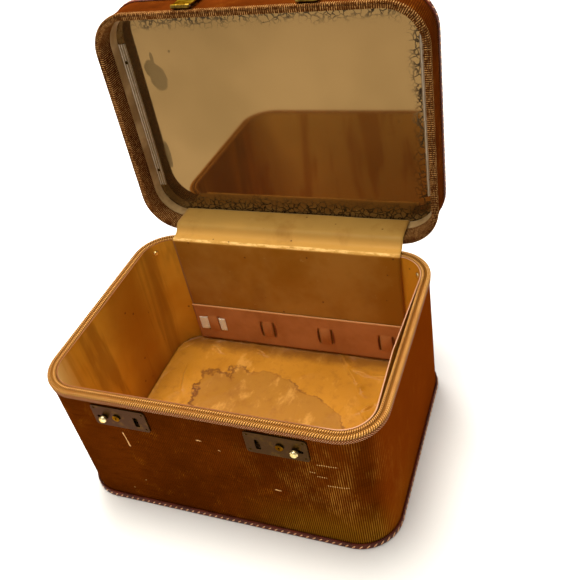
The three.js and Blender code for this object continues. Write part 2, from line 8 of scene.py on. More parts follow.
import math
from contextlib import contextmanager
from functools import reduce

import bmesh
import bpy
import numpy as np
from mathutils import Matrix, Vector, noise


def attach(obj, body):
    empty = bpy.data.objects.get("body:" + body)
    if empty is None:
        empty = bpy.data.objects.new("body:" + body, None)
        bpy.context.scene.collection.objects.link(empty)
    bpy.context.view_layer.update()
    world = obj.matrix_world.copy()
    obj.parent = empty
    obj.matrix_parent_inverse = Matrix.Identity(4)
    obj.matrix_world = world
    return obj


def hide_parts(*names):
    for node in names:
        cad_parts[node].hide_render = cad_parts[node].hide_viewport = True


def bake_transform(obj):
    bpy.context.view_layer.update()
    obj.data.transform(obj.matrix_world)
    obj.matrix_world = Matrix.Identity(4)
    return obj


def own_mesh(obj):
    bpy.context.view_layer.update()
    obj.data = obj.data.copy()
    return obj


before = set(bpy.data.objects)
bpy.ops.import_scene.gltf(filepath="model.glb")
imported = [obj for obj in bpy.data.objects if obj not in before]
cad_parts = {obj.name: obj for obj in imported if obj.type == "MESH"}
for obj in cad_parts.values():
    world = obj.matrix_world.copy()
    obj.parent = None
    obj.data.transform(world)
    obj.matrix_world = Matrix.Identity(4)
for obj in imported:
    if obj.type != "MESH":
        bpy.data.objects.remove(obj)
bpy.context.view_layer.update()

# -------------------------------------------------------------------- camera

IMAGE = 580
FOCAL_PX = 743.486
CENTRE_PX = (280.363, 281.074)

camera = bpy.data.objects.new("camera", bpy.data.cameras.new("camera"))
bpy.context.collection.objects.link(camera)
camera.data.sensor_width = 36
camera.data.lens = 36 * FOCAL_PX / IMAGE
camera.data.shift_x = (IMAGE / 2 - CENTRE_PX[0]) / IMAGE
camera.data.shift_y = (CENTRE_PX[1] - IMAGE / 2) / IMAGE
camera.matrix_world = Matrix((
    (0.92727, -0.08583, 0.36443, 0.303348),
    (0.33334, 0.63243, -0.69922, -0.482471),
    (-0.17047, 0.76985, 0.61504, 0.640137),
    (0, 0, 0, 1),
))
bpy.context.scene.camera = camera


# ---------------------------------------------------------------- dimensions

MM = 0.001
BODY = (340.0, 251.0, 40.0)
LID_SIZE = (343.0, 254.0, 41.5)
RIM_Z = 162.8
HINGE_Y, HINGE_Z, LID_RIM_Z = 131.5, 161.3, 163.3
LID_OPEN = math.radians(-91)
LID = (
    Matrix.Translation((0, HINGE_Y, HINGE_Z))
    @ Matrix.Rotation(LID_OPEN, 4, "X")
    @ Matrix.Translation((0, -HINGE_Y, LID_RIM_Z - HINGE_Z))
)
RIB_PITCH = 2.1
PIPING_PITCH = 2.3
THREAD_PITCH = 1.0
CROSS_PITCH = 1.7
STITCH_PITCH = 6.6
SLIT_CENTRES = (-111.0, -37.0, 37.0, 111.0)
SLIT_OFF, SLIT_HALF_WIDTH = 8.0, 0.9
SLIT_Z = (25.0, 48.5)
ELASTIC_WIDTH = 19.5
BAND_Z = (10.8, 66.0)
SIDES = (("left", -1), ("right", 1))
STRIP_X = 160.2
POCKET_X = (54.0, 105.5)
POCKET_Z = (128.5, 147.5)


# -------------------------------------------------------------- mesh helpers


@contextmanager
def editing(mesh):
    """A bmesh of the mesh, written back when the block ends."""
    shape = bmesh.new()
    shape.from_mesh(mesh)
    yield shape
    shape.to_mesh(mesh)
    shape.free()


def outward(piece):
    """Turns every face of a closed piece outwards."""
    with editing(piece.data) as shape:
        bmesh.ops.recalc_face_normals(shape, faces=shape.faces)


def tube_faces(sides, rings, first=0, inner=False):
    """Quads joining rings of points that follow each other."""
    faces = []
    for a in range(first, first + (rings - 1) * sides, sides):
        b = a + sides
        for k in range(sides):
            k2 = (k + 1) % sides
            faces.append(
                (a + k, a + k2, b + k2, b + k) if inner else (a + k, b + k, b + k2, a + k2)
            )
    return faces


def grid_faces(rows, cols, skip=None):
    """Quads of a grid of points, leaving out those marked in skip."""
    faces = []
    for r in range(rows - 1):
        for c in range(cols - 1):
            if skip is None or not skip[r, c]:
                a = r * cols + c
                faces.append((a, a + 1, a + cols + 1, a + cols))
    return faces


def half_depth(size, inset, x):
    """Half the front-to-back run of an inset outline at a distance x from the middle."""
    half_w, half_d, radius = size[0] / 2 - inset, size[1] / 2 - inset, size[2] - inset
    over = max(0.0, abs(x) - (half_w - radius))
    return half_d - radius + math.sqrt(max(0.0, radius ** 2 - over ** 2))


def build(name, points, faces, body, look, slot, uvs=None, place=None, sharp=40, hides=()):
    """A piece from points in millimetres, riding on a body. uvs holds one pair per face corner."""
    points = np.asarray(points, float)
    if place is not None:
        turn = np.array(place)
        points = points @ turn[:3, :3].T + turn[:3, 3]
    mesh = bpy.data.meshes.new(name)
    mesh.from_pydata((points * MM).tolist(), [], [tuple(map(int, f)) for f in faces])
    if uvs is not None:
        layer = mesh.uv_layers.new(name="along")
        layer.data.foreach_set("uv", np.asarray(uvs, np.float32).ravel())
    mesh.validate()
    return settle(bpy.data.objects.new(name, mesh), body, look, sharp, hides)


def settle(piece, body, look, sharp=40, hides=()):
    """Links a new object, shades it, and gives it its body and material."""
    bpy.context.collection.objects.link(piece)
    mesh = piece.data
    mesh.materials.clear()
    mesh.materials.append(look)
    mesh.shade_smooth()
    mesh.set_sharp_from_angle(angle=math.radians(sharp))
    if body is not None:
        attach(piece, body)
    if hides:
        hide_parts(*hides)
    return piece


def bake(piece):
    """Applies the piece's modifiers to its mesh."""
    bpy.context.view_layer.update()
    graph = bpy.context.evaluated_depsgraph_get()
    mesh = bpy.data.meshes.new_from_object(piece.evaluated_get(graph))
    piece.modifiers.clear()
    old = piece.data
    piece.data = mesh
    bpy.data.meshes.remove(old)


def edge_track(size, count):
    """count even steps round an outline: corner centres, outward normals, distances, total."""
    width, depth, radius = size
    half_w, half_d = width / 2 - radius, depth / 2 - radius
    arc = radius * math.pi / 2
    total = 4 * arc + 4 * (half_w + half_d)
    along = np.arange(count) * total / count
    centres, normals = np.zeros((count, 2)), np.zeros((count, 2))
    start = 0.0
    corners = [(1, 1), (-1, 1), (-1, -1), (1, -1)]
    for k, (sx, sy) in enumerate(corners):
        here = np.array((sx * half_w, sy * half_d))
        inside = (along >= start) & (along < start + arc)
        turn = k * math.pi / 2 + (along[inside] - start) / radius
        centres[inside] = here
        normals[inside] = np.stack((np.cos(turn), np.sin(turn)), 1)
        start += arc
        nx, ny = corners[(k + 1) % 4]
        there = np.array((nx * half_w, ny * half_d))
        run = np.linalg.norm(there - here)
        inside = (along >= start - 1e-9) & (along < start + run)
        centres[inside] = here + (there - here) * ((along[inside] - start) / run)[:, None]
        turn = (k + 1) * math.pi / 2
        normals[inside] = (math.cos(turn), math.sin(turn))
        start += run
    return centres, normals, along, total


def hoop(name, size, profile, count, body, look, slot, bump=None, shift=None, **more):
    """A closed profile of (inset, height) swept round the case.

    bump(distance, turn, height) pushes the surface out; shift(x, y, height) moves it inwards.
    """
    centres, normals, along, total = edge_track(size, count)
    profile = np.asarray(profile, float)
    ahead, behind = np.roll(profile, -1, 0), np.roll(profile, 1, 0)
    lean = ahead - behind
    out = np.stack((lean[:, 1], -lean[:, 0]), 1)
    out /= np.linalg.norm(out, axis=1)[:, None] + 1e-12
    steps = np.linalg.norm(ahead - profile, axis=1)
    girth = np.concatenate(([0], np.cumsum(steps)))
    inset = np.repeat(profile[None, :, 0], count, 0)
    height = np.repeat(profile[None, :, 1], count, 0)
    if bump is not None:
        push = bump(along[:, None], girth[None, :-1] / girth[-1], height)
        inset = inset + out[None, :, 0] * push
        height = height + out[None, :, 1] * push
    if shift is not None:
        edge = centres[:, None, :] + normals[:, None, :] * (size[2] - inset[..., None])
        inset = inset + shift(edge[..., 0], edge[..., 1], height)
    points = np.zeros((count, len(profile), 3))
    points[..., :2] = centres[:, None, :] + normals[:, None, :] * (size[2] - inset[..., None])
    points[..., 2] = height
    return weave_faces(name, points, along * MM, total * MM, girth * MM, body, look, slot, **more)


def weave_faces(name, points, along, total, girth, body, look, slot, **more):
    """Quads over a closed ring of closed sections, with UVs in metres."""
    count, ring = points.shape[:2]
    i, j = np.meshgrid(np.arange(count), np.arange(ring), indexing="ij")
    i2, j2 = (i + 1) % count, (j + 1) % ring
    faces = np.stack((i * ring + j, i * ring + j2, i2 * ring + j2, i2 * ring + j), -1)
    u1 = along[i]
    u2 = np.where(i2 == 0, total, along[i2])
    v1, v2 = girth[j], girth[j + 1]
    uvs = np.stack(
        (np.stack((u1, v1), -1), np.stack((u1, v2), -1), np.stack((u2, v2), -1),
         np.stack((u2, v1), -1)),
        -2,
    )
    return build(
        name, points.reshape(-1, 3), faces.reshape(-1, 4), body, look, slot,
        uvs=uvs.reshape(-1, 2), **more,
    )


def rounded(insets, heights, radius, steps=3):
    """A rounded rectangular profile, counterclockwise."""
    a, b = insets
    low, high = heights
    points = []
    for cx, cz, start in (
        (a + radius, low + radius, 180), (b - radius, low + radius, 270),
        (b - radius, high - radius, 0), (a + radius, high - radius, 90),
    ):
        for k in range(steps + 1):
            turn = math.radians(start + 90 * k / steps)
            points.append((cx + radius * math.cos(turn), cz + radius * math.sin(turn)))
    return points


def round_profile(inset, height, across, tall, steps=14):
    """An oval profile round a centre, counterclockwise."""
    turns = [2 * math.pi * k / steps for k in range(steps)]
    return [(inset + across * math.cos(t), height + tall * math.sin(t)) for t in turns]


def skin_profile(insets, heights):
    """A thin upright skin with both sides split at the given heights, lowest first."""
    outer, inner = insets
    return [(inner, z) for z in heights] + [(outer, z) for z in reversed(heights)]


def loop_outline(size, inset, count):
    """Points of an inset outline."""
    centres, normals, _, _ = edge_track(size, count)
    return centres + normals * (size[2] - inset)


def slab(name, size, inset, heights, bevel, body, look, slot, count=160, **more):
    """A flat plate with rounded corners and a small bevel round both faces."""
    low, high = heights
    rings = [(inset + bevel, low), (inset, low + bevel), (inset, high - bevel),
             (inset + bevel, high)]
    points = []
    for ring_inset, z in rings:
        points += [(x, y, z) for x, y in loop_outline(size, ring_inset, count)]
    faces = tube_faces(count, len(rings), inner=True)
    faces.append(tuple(range(count - 1, -1, -1)))
    faces.append(tuple(range(len(points) - count, len(points))))
    return build(name, points, faces, body, look, slot, sharp=30, **more)


def grid_sheet(name, points, thick, body, look, slot, uvs=None, offset=-1.0, skip=None, **more):
    """A sheet from a grid of points (rows, columns, 3) given a thickness."""
    faces = grid_faces(*points.shape[:2], skip)
    if uvs is not None:
        uvs = uvs.reshape(-1, 2)[np.array(faces).ravel()]
    piece = build(name, points.reshape(-1, 3), faces, body, look, slot, uvs=uvs, **more)
    solid = piece.modifiers.new("thickness", "SOLIDIFY")
    solid.thickness = thick * MM
    solid.offset = offset
    solid.use_even_offset = True
    bake(piece)
    return piece


def refine(node, name, body, look, width=0.25):
    """A copy of a CAD solid with its edges eased."""
    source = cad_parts[node]
    mesh = source.data.copy()
    mesh.name = name
    with editing(mesh) as shape:
        bmesh.ops.remove_doubles(shape, verts=shape.verts, dist=2e-6)
        bmesh.ops.dissolve_limit(
            shape, angle_limit=math.radians(1), verts=shape.verts, edges=shape.edges
        )
    piece = bpy.data.objects.new(name, mesh)
    settle(piece, body, look, 35, (node,))
    ease = piece.modifiers.new("ease", "BEVEL")
    ease.width = width * MM
    ease.segments = 2
    ease.limit_method = "ANGLE"
    ease.angle_limit = math.radians(32)
    flat = piece.modifiers.new("flat", "WEIGHTED_NORMAL")
    flat.keep_sharp = True
    bake(piece)
    return piece


# ---------------------------------------------------------- material helpers


def rgb(r, g, b):
    """A display colour out of 255 as the linear colour a shader takes."""
    def one(value):
        value /= 255
        return value / 12.92 if value <= 0.04045 else ((value + 0.055) / 1.055) ** 2.4

    return (one(r), one(g), one(b), 1.0)


def darker(colour, share):
    """The colour with its brightness scaled."""
    return tuple(channel * share for channel in colour[:3]) + (1.0,)


class Value:
    """A shader value that takes arithmetic: each operation is one more node."""

    def __init__(self, look, socket):
        self.look = look
        self.socket = socket

    def __add__(self, other):
        return self.look.math("ADD", self, other)

    def __sub__(self, other):
        return self.look.math("SUBTRACT", self, other)

    def __rsub__(self, other):
        return self.look.math("SUBTRACT", other, self)

    def __mul__(self, other):
        return self.look.math("MULTIPLY", self, other)

    def __truediv__(self, other):
        return self.look.math("DIVIDE", self, other)

    def __pow__(self, other):
        return self.look.math("POWER", self, other)

    def __abs__(self):
        return self.look.math("ABSOLUTE", self)

    def step(self, low, high):
        """0 below low, 1 above high."""
        node, result = self.look.node("MapRange", "Result", Value=self, From_Min=low, From_Max=high)
        node.interpolation_type = "SMOOTHSTEP"
        return result

    def fall(self, low, high):
        """1 below low, 0 above high."""
        return 1.0 - self.step(low, high)

    def band(self, low, rise, fall, high):
        """1 between rise and fall, 0 outside low and high."""
        return self.step(low, rise) * self.fall(fall, high)

    def wave(self, period):
        """0 to 1 and back over each period, in the units of the value."""
        return self.look.math("COSINE", self * (2 * math.pi / period)) * 0.5 + 0.5


class Look:
    """A node material with short calls for the nodes used here."""

    def __init__(self, name, roughness=0.6, metallic=0.0, **fixed):
        self.material = bpy.data.materials.new(name)
        self.material.use_nodes = True
        self.tree = self.material.node_tree
        self.tree.nodes.clear()
        self.shader = self.tree.nodes.new("ShaderNodeBsdfPrincipled")
        self.shader.inputs["Roughness"].default_value = roughness
        self.shader.inputs["Metallic"].default_value = metallic
        for key, value in fixed.items():
            self.shader.inputs[key.replace("_", " ")].default_value = value
        output = self.tree.nodes.new("ShaderNodeOutputMaterial")
        self.tree.links.new(self.shader.outputs[0], output.inputs["Surface"])

    def node(self, kind, output, **inputs):
        """A new node with some inputs set or linked, and one of its outputs as a Value."""
        node = self.tree.nodes.new("ShaderNode" + kind)
        for name, value in inputs.items():
            self.feed(node.inputs[name.replace("_", " ")], value)
        return node, Value(self, node.outputs[output])

    def feed(self, socket, value):
        if isinstance(value, Value):
            self.tree.links.new(value.socket, socket)
        else:
            socket.default_value = value

    def place(self, stretch=None):
        """Position on the object at rest, in metres."""
        spot = self.node("TexCoord", "Object")[1]
        if stretch is None:
            return spot
        return self.node("Mapping", 0, Vector=spot, Scale=stretch)[1]

    def split(self, vector):
        """The x, y and z of a vector."""
        node, _ = self.node("SeparateXYZ", 0, Vector=vector)
        return [Value(self, socket) for socket in node.outputs]

    def uv(self):
        node, along = self.node("UVMap", 0)
        node.uv_map = "along"
        return self.split(along)[:2]

    def math(self, operation, *values):
        node, result = self.node("Math", 0)
        node.operation = operation
        for socket, value in zip(node.inputs, values):
            self.feed(socket, value)
        return result

    def highest(self, *values):
        return reduce(lambda a, b: self.math("MAXIMUM", a, b), values)

    def lowest(self, *values):
        return reduce(lambda a, b: self.math("MINIMUM", a, b), values)

    def noise(self, vector, scale, detail=3.0, roughness=0.5, distortion=0.0):
        return self.node("TexNoise", "Fac", Vector=vector, Scale=scale, Detail=detail,
                         Roughness=roughness, Distortion=distortion)[1]

    def cells(self, vector, scale, feature="DISTANCE_TO_EDGE"):
        node, distance = self.node("TexVoronoi", "Distance", Vector=vector, Scale=scale)
        node.feature = feature
        return distance

    def warped(self, vector, scale, amount):
        """The vector pushed about by noise."""
        pull = self.node("TexNoise", "Color", Vector=vector, Scale=scale)[1]
        scaling, scaled = self.node("VectorMath", 0)
        scaling.operation = "SCALE"
        scaling.inputs["Scale"].default_value = amount
        self.feed(scaling.inputs[0], pull)
        adding, moved = self.node("VectorMath", 0)
        adding.operation = "ADD"
        self.feed(adding.inputs[0], vector)
        self.feed(adding.inputs[1], scaled)
        return moved

    def mix(self, amount, a, b):
        """Colour a where amount is 0, b where it is 1."""
        node = self.tree.nodes.new("ShaderNodeMix")
        node.data_type = "RGBA"
        factor, first, second, mixed = 0, 6, 7, 2
        self.feed(node.inputs[factor], amount)
        self.feed(node.inputs[first], a)
        self.feed(node.inputs[second], b)
        return Value(self, node.outputs[mixed])

    def tint(self, base, mask, share, colour):
        """base with a share of a colour laid over it where the mask is 1."""
        return self.mix(mask * share, base, colour)

    def bump(self, height, depth, strength=1.0):
        normal = self.node("Bump", 0, Distance=depth, Strength=strength, Height=height)[1]
        self.feed(self.shader.inputs["Normal"], normal)

    def colour(self, value):
        self.feed(self.shader.inputs["Base Color"], value)

    def rough(self, value):
        self.feed(self.shader.inputs["Roughness"], value)


# ----------------------------------------------------------------- materials


def ribbed_cloth(name, dark, mid, gold, gold_share):
    """Coated cloth with fine ribs across the edge of the case, its raised threads rubbed."""
    look = Look(name, roughness=0.6, Specular_IOR_Level=0.0)
    u, v = look.uv()
    spot = look.place()
    rib = u.wave(RIB_PITCH * MM)
    thread = v.wave(THREAD_PITCH * MM)
    cloud = look.noise(spot, 14, 4, 0.6)
    rub = look.noise(spot, 55, 5, 0.65)
    fleck = look.noise(look.place((1, 1, 0.25)), 900, 2, 0.6)
    base = look.mix(cloud.step(0.35, 0.7), dark, mid)
    smear = look.noise(look.place((0.4, 0.4, 2.4)), 120, 4, 0.7)
    base = look.tint(base, smear.step(0.45, 0.75), 0.5, darker(dark, 0.4))
    # painted shade: the grooves between the ribs are darkened
    base = look.tint(base, 1.0 - rib, 0.55, darker(dark, 0.45))
    rubbed = rib.step(0.45, 1.0) * rub.step(*gold_share)
    rubbed = rubbed * fleck.step(0.38, 0.62) * (thread * 0.5 + 0.5)
    look.colour(look.mix(rubbed, base, gold))
    look.rough(fleck * 0.3 + 0.55)
    look.bump(thread * 0.35 + fleck * 0.5, 0.0002, 0.7)
    return look


def case_cloth():
    """The body's cloth: darkest at the front, golden where the right front corner has worn, with
    painted light making its right side lighter and more orange.
    """
    look = ribbed_cloth(
        "case_cloth", rgb(82, 34, 2), rgb(100, 44, 4), rgb(176, 108, 26), (0.52, 0.8)
    )
    worn_base = Value(look, look.shader.inputs["Base Color"].links[0].from_socket)
    u, _ = look.uv()
    x, y, z = look.split(look.place())
    corner_x, corner_y = 0.135, -0.105
    near = (((x - corner_x) ** 2.0 + (y - corner_y) ** 2.0) ** 0.5).fall(0.03, 0.13)
    patches = look.noise(look.place((1, 1, 0.5)), 34, 5, 0.7)
    rib = u.wave(RIB_PITCH * MM)
    broken = look.noise(look.place((1, 1, 0.12)), 420, 3, 0.7)
    pale_marks = near * patches.step(0.45, 0.7) * (rib * broken).step(0.2, 0.52)
    amber = near * z.fall(0.02, 0.07) * rib
    colour = look.tint(worn_base, pale_marks, 0.55, rgb(196, 136, 52))
    colour = look.tint(colour, amber, 0.5, rgb(150, 108, 22))
    # painted light: the right side is tinted lighter and more orange than the front
    colour = look.tint(colour, x.step(0.155, 0.169), 0.6, rgb(128, 54, 6))
    scuffed = scratches(look, SCUFFS) * y.fall(-0.124, -0.12)
    colour = look.mix(scuffed, colour, rgb(226, 172, 110))
    across = scratches(look, WEAR_LINES) * rib.step(0.3, 0.7) * y.fall(-0.11, -0.1)
    look.colour(look.tint(colour, across, 0.85, rgb(214, 166, 100)))
    return look


# pale scuffs on the front, and lines worn across the ribs near its right corner: x, z, x, z
SCUFFS = (
    (-0.0850, 0.1157, -0.0835, 0.0929), (-0.0040, 0.1240, 0.0030, 0.1236),
    (0.0165, 0.1145, 0.0200, 0.1138), (-0.0845, 0.0400, -0.0820, 0.0396),
    (-0.1040, 0.0222, -0.1015, 0.0218), (0.0640, 0.0700, 0.0720, 0.0695),
)
WEAR_LINES = (
    (0.112, 0.1205, 0.133, 0.1216), (0.118, 0.0925, 0.140, 0.0936), (0.110, 0.1035, 0.121, 0.1040),
    (0.104, 0.1083, 0.111, 0.1086),
)


def scratches(look, lines):
    """A mask of short scuffed lines on the front, each from (x, z) to (x, z) in metres."""
    x, _, z = look.split(look.place())
    wobble = look.noise(look.place(), 260, 2) * 0.0012 - 0.0006
    masks = []
    taper = 0.002
    for x1, z1, x2, z2 in lines:
        length = math.hypot(x2 - x1, z2 - z1)
        ax, az = (x2 - x1) / length, (z2 - z1) / length
        dx, dz = x - x1, z - z1
        run = dx * ax + dz * az
        side = abs(dx * az - dz * ax + wobble)
        reach = run.band(0.0, taper, length - taper, length)
        masks.append(side.fall(0.0003, 0.001) * reach)
    return look.highest(*masks)


def piping_look(name, gold, light, shade, slant):
    """Woven cord: slanted threads with light flecks, darker between them."""
    look = Look(name, roughness=0.66, Specular_IOR_Level=0.06)
    u, v = look.uv()
    thread = (v * slant + u).wave(PIPING_PITCH * MM)
    cross = v.wave(CROSS_PITCH * MM)
    cloud = look.noise(look.place(), 45, 4, 0.65)
    base = look.mix(thread.step(0.05, 0.6), shade, gold)
    base = look.mix(thread.step(0.6, 0.95) * cross.step(0.35, 0.9), base, light)
    look.colour(look.tint(base, cloud.step(0.48, 0.7), 0.5, rgb(140, 84, 34)))
    look.rough(0.72 - thread * 0.12)
    look.bump(thread * cross, 0.0003, 0.6)
    return look


def leather_look(name, dark, light, scale):
    """Grained leather or leathercloth, dark in the pores."""
    look = Look(name, roughness=0.5, Specular_IOR_Level=0.15)
    spot = look.place()
    pores = look.cells(spot, scale)
    cloud = look.noise(spot, 40, 4, 0.6)
    base = look.mix(cloud.step(0.35, 0.7), dark, light)
    look.colour(look.mix(pores.step(0.0, 0.12), darker(dark, 0.5), base))
    look.rough(cloud * 0.3 + 0.3)
    look.bump(pores.step(0, 0.3) + look.noise(spot, 2500, 2), 0.0002, 0.6)
    return look


def specks(look, base, scale):
    """Scattered small dark spots of old dirt."""
    dot = look.cells(look.place(), scale, "F1").fall(0.035, 0.075)
    return look.tint(base, dot, 0.7, rgb(70, 34, 8))


def card_look():
    """Lining board of the walls: amber paper with old damp streaks running down it, painted shade
    low down and painted light on its front part.
    """
    look = Look("lining_board", roughness=0.5, Specular_IOR_Level=0.12)
    spot = look.place()
    x, y, z = look.split(spot)
    cloud = look.noise(spot, 9, 4, 0.55)
    streak = look.noise(look.place((1, 1, 0.12)), 26, 4, 0.6, 0.4)
    fibre = look.noise(look.place((1, 1, 0.3)), 1400, 3, 0.7)
    base = look.mix(cloud.step(0.35, 0.65), rgb(198, 132, 28), rgb(214, 156, 48))
    base = look.tint(base, streak.step(0.52, 0.68), 0.55, rgb(130, 72, 8))
    stripe = (y + look.noise(spot, 20, 3) * 0.05).band(0.0, 0.04, 0.07, 0.12)
    base = look.tint(base, stripe, 0.55, rgb(150, 84, 6))
    # painted shade: the board is darker low down, where it meets the floor pad
    base = look.tint(base, z.fall(0.008, 0.05), 0.35, rgb(120, 62, 6))
    # painted light: the front part of the board is made much paler, as if lit, with the damp
    # streaks still showing through
    front_painted_light = look.mix(streak.step(0.5, 0.6), rgb(244, 212, 134), rgb(214, 164, 82))
    base = look.tint(base, y.fall(-0.108, -0.068), 0.85, front_painted_light)
    base = specks(look, base, 42)
    trim = look.mix(x.step(0.1, 0.14), rgb(128, 76, 34), rgb(188, 138, 104))
    look.colour(look.mix(z.step(0.1615, 0.162), base, trim))
    look.rough(fibre * 0.25 + 0.4)
    look.bump(fibre, 0.00015, 0.5)
    return look


def lining_look():
    """The hinge flap and back panel: smooth lining cloth, pale over the rim and dark down the back
    wall as painted light and shade, with a painted highlight along the fold.
    """
    look = Look("lining_cloth", roughness=0.48, Specular_IOR_Level=0.1, Sheen_Weight=0.06)
    spot = look.place()
    x, y, z = look.split(spot)
    cloud = look.noise(spot, 11, 4, 0.6)
    weave = x.wave(0.0009) * (y + z).wave(0.0009)
    # painted light and shade: the cloth over the rim is pale, palest near the fold, and the cloth
    # down the back wall is dark
    flap = look.mix(z.step(0.163, 0.174), rgb(206, 152, 70), rgb(168, 128, 60))
    base = look.mix(z.step(0.1612, 0.1632), rgb(148, 94, 10), flap)
    damp = look.noise(look.place((1, 1, 0.35)), 24, 5, 0.6).step(0.5, 0.72)
    base = look.tint(base, damp, 0.45, rgb(128, 80, 18))
    base = look.tint(base, cloud.step(0.4, 0.7), 0.35, rgb(196, 148, 70))
    # painted highlight: a pale line along the fold at the top of the rim, broken up by noise
    pale_marks = z.step(0.1626, 0.1633) * y.fall(0.1163, 0.118)
    fold_highlight_breaks = look.noise(look.place((1, 3, 3)), 85, 5, 0.7).step(0.4, 0.58)
    base = look.mix(pale_marks * fold_highlight_breaks, base, rgb(244, 196, 118))
    smudge = look.noise(spot, 70, 5, 0.7).step(0.62, 0.74)
    base = look.tint(base, smudge, 0.4, rgb(190, 150, 84))
    look.colour(specks(look, base, 48))
    look.rough(cloud * 0.3 + 0.34)
    look.bump(weave, 0.00012, 0.45)
    return look


def satin_look():
    """Floor pad satin, golden, with a brown tide mark round the old spill and painted shade along
    its back.
    """
    look = Look("pad_satin", roughness=0.42, Specular_IOR_Level=0.2, Sheen_Weight=0.06)
    spot = look.place()
    x, y, _ = look.split(spot)
    rag = look.noise(spot, 16, 6, 0.62, 0.3)
    fine = look.noise(spot, 70, 4, 0.6)
    squareness = 2.6
    across = abs((y * 0.8 + x + 0.003) / 0.095) ** squareness
    deep = abs((y + 0.015) / 0.085) ** squareness
    reach = across + deep + rag * 2.2 - 1.1 + fine * 0.5 - 0.25
    inside = reach.fall(0.85, 1.0)
    line = reach.band(0.88, 0.98, 0.99, 1.07)
    base = look.mix(look.noise(spot, 12, 3).step(0.35, 0.7), rgb(188, 127, 34), rgb(172, 113, 22))
    base = look.tint(base, inside, 0.6, rgb(146, 98, 28))
    blot = rag.step(0.55, 0.75) * inside
    base = look.tint(base, blot, 0.6, rgb(136, 84, 24))
    grime = look.noise(spot, 95, 5, 0.7).step(0.48, 0.72)
    base = look.tint(base, grime, 0.4, rgb(140, 84, 20))
    shine = look.noise(look.place((1, 0.6, 1)), 38, 4, 0.65).step(0.54, 0.7)
    base = look.tint(base, shine, 0.4, rgb(232, 172, 84))
    patch = look.noise(spot, 13, 2).step(0.42, 0.6)
    near_left = x.fall(-0.105, -0.085) * y.fall(0.035, 0.05)
    near_right = x.step(0.03, 0.05) * patch.step(0.0, 0.1)
    patch = look.highest(patch * 0.8, near_left, near_right * 0.3 + 0.35)
    base = look.mix(line * (patch * 0.75 + 0.12), base, rgb(92, 44, 8))
    # painted shade: the strip of satin along the back wall is darkened
    back = (y + fine * 0.02).step(0.1, 0.118)
    look.colour(look.tint(base, back, 0.7, rgb(104, 56, 12)))
    threads = x.wave(0.0007) + y.wave(0.0011)
    look.rough(inside * 0.12 + 0.38)
    look.bump(threads * 0.4 + look.noise(spot, 220, 4), 0.0004, 0.35)
    return look


def strap_look():
    """The loop band: pinkish brown cloth, with painted shade at its slits and a painted highlight
    along its top edge.
    """
    look = Look("loop_band_cloth", roughness=0.55, Specular_IOR_Level=0.2)
    spot = look.place()
    x, _, z = look.split(spot)
    cloud = look.noise(spot, 18, 4, 0.6)
    weave = x.wave(0.0012) * z.wave(0.0012)
    base = look.mix(cloud.step(0.35, 0.7), rgb(182, 120, 70), rgb(160, 100, 52))
    # painted shade: dark curved marks on both sides of each slit
    middle, half = 0.0368, 0.012
    curve = ((z - middle) / half) ** 2.0
    marks = []
    for centre in SLIT_CENTRES:
        for side in (-1, 1):
            bow = curve * (-side * 0.0016) + side * 0.0012
            off = abs(x - (centre + side * SLIT_OFF) * MM - bow)
            marks.append(off.fall(0.001, 0.0022 + 0.0008 * side))
    gap = look.highest(*marks) * z.band(0.023, 0.03, 0.043, 0.051)
    base = look.tint(base, gap, 0.8, rgb(96, 32, 10))
    # painted highlight: a pale line along the band's top edge
    look.colour(look.tint(base, z.step(0.0635, 0.0645), 0.5, rgb(226, 168, 110)))
    look.bump(weave + look.noise(spot, 600, 3), 0.00015, 0.5)
    return look


def elastic_look():
    """White elastic with its rows of cord."""
    look = Look("white_elastic", roughness=0.8)
    spot = look.place()
    x, _, z = look.split(spot)
    rows = z.wave(0.0014)
    picks = x.wave(0.0009)
    # painted shade: cream in the grooves between the rows of cord, white on their crests
    look.colour(look.mix(rows, rgb(236, 216, 178), rgb(255, 252, 240)))
    look.bump(rows + picks * 0.5, 0.0004, 0.8)
    return look


# dark blots in the silvering: centre x, z and half sizes
MIRROR_BLOTS = (
    (-0.127, 0.339, 0.0105, 0.0165), (-0.133, 0.35, 0.0085, 0.01), (-0.129, 0.362, 0.0022, 0.007),
    (-0.142, 0.246, 0.0035, 0.017), (-0.106, 0.3687, 0.0015, 0.0015),
)


def mirror_look():
    """Old mirror: silvering browned all over, eaten away in branching marks round the edge."""
    look = Look("aged_mirror", roughness=0.05, metallic=1.0)
    spot = look.place()
    x, _, z = look.split(spot)
    wander = look.noise(spot, 60, 4, 0.65)
    half_width, foot, top = 0.1655, 0.1735, 0.413
    edge = look.lowest(half_width - abs(x), z - foot, top - z)
    ragged = edge + wander * 0.03 - 0.015
    eaten = ragged.fall(0.004, 0.013)
    left = x.fall(-0.15, -0.12)
    branch = look.cells(look.warped(spot, 130, 0.009), 150)
    vein = branch.fall(0.02, 0.13)
    zone = ragged.fall(0.008, 0.024)
    vein = vein * zone * (1.0 - left * 0.8)
    blots = []
    for cx, cz, wide, tall in MIRROR_BLOTS:
        far = ((x - cx) / wide) ** 2.0 + ((z - cz) / tall) ** 2.0 + wander * 1.2 - 0.6
        blots.append(far.fall(0.7, 1.1))
    spots = look.highest(*blots)
    film = look.noise(spot, 7, 3, 0.5)
    silver = look.mix(film.step(0.3, 0.7), rgb(140, 110, 66), rgb(122, 95, 54))
    silver = look.tint(silver, eaten, 0.7, rgb(140, 112, 62))
    silver = look.mix(vein, silver, rgb(46, 32, 6))
    look.colour(look.tint(silver, spots, 0.8, rgb(96, 74, 36)))
    lost = look.highest(vein, spots * 0.5, eaten * 0.6)
    look.feed(look.shader.inputs["Metallic"], 0.84 - lost * 0.2)
    look.rough(lost * 0.4 + 0.05)
    return look


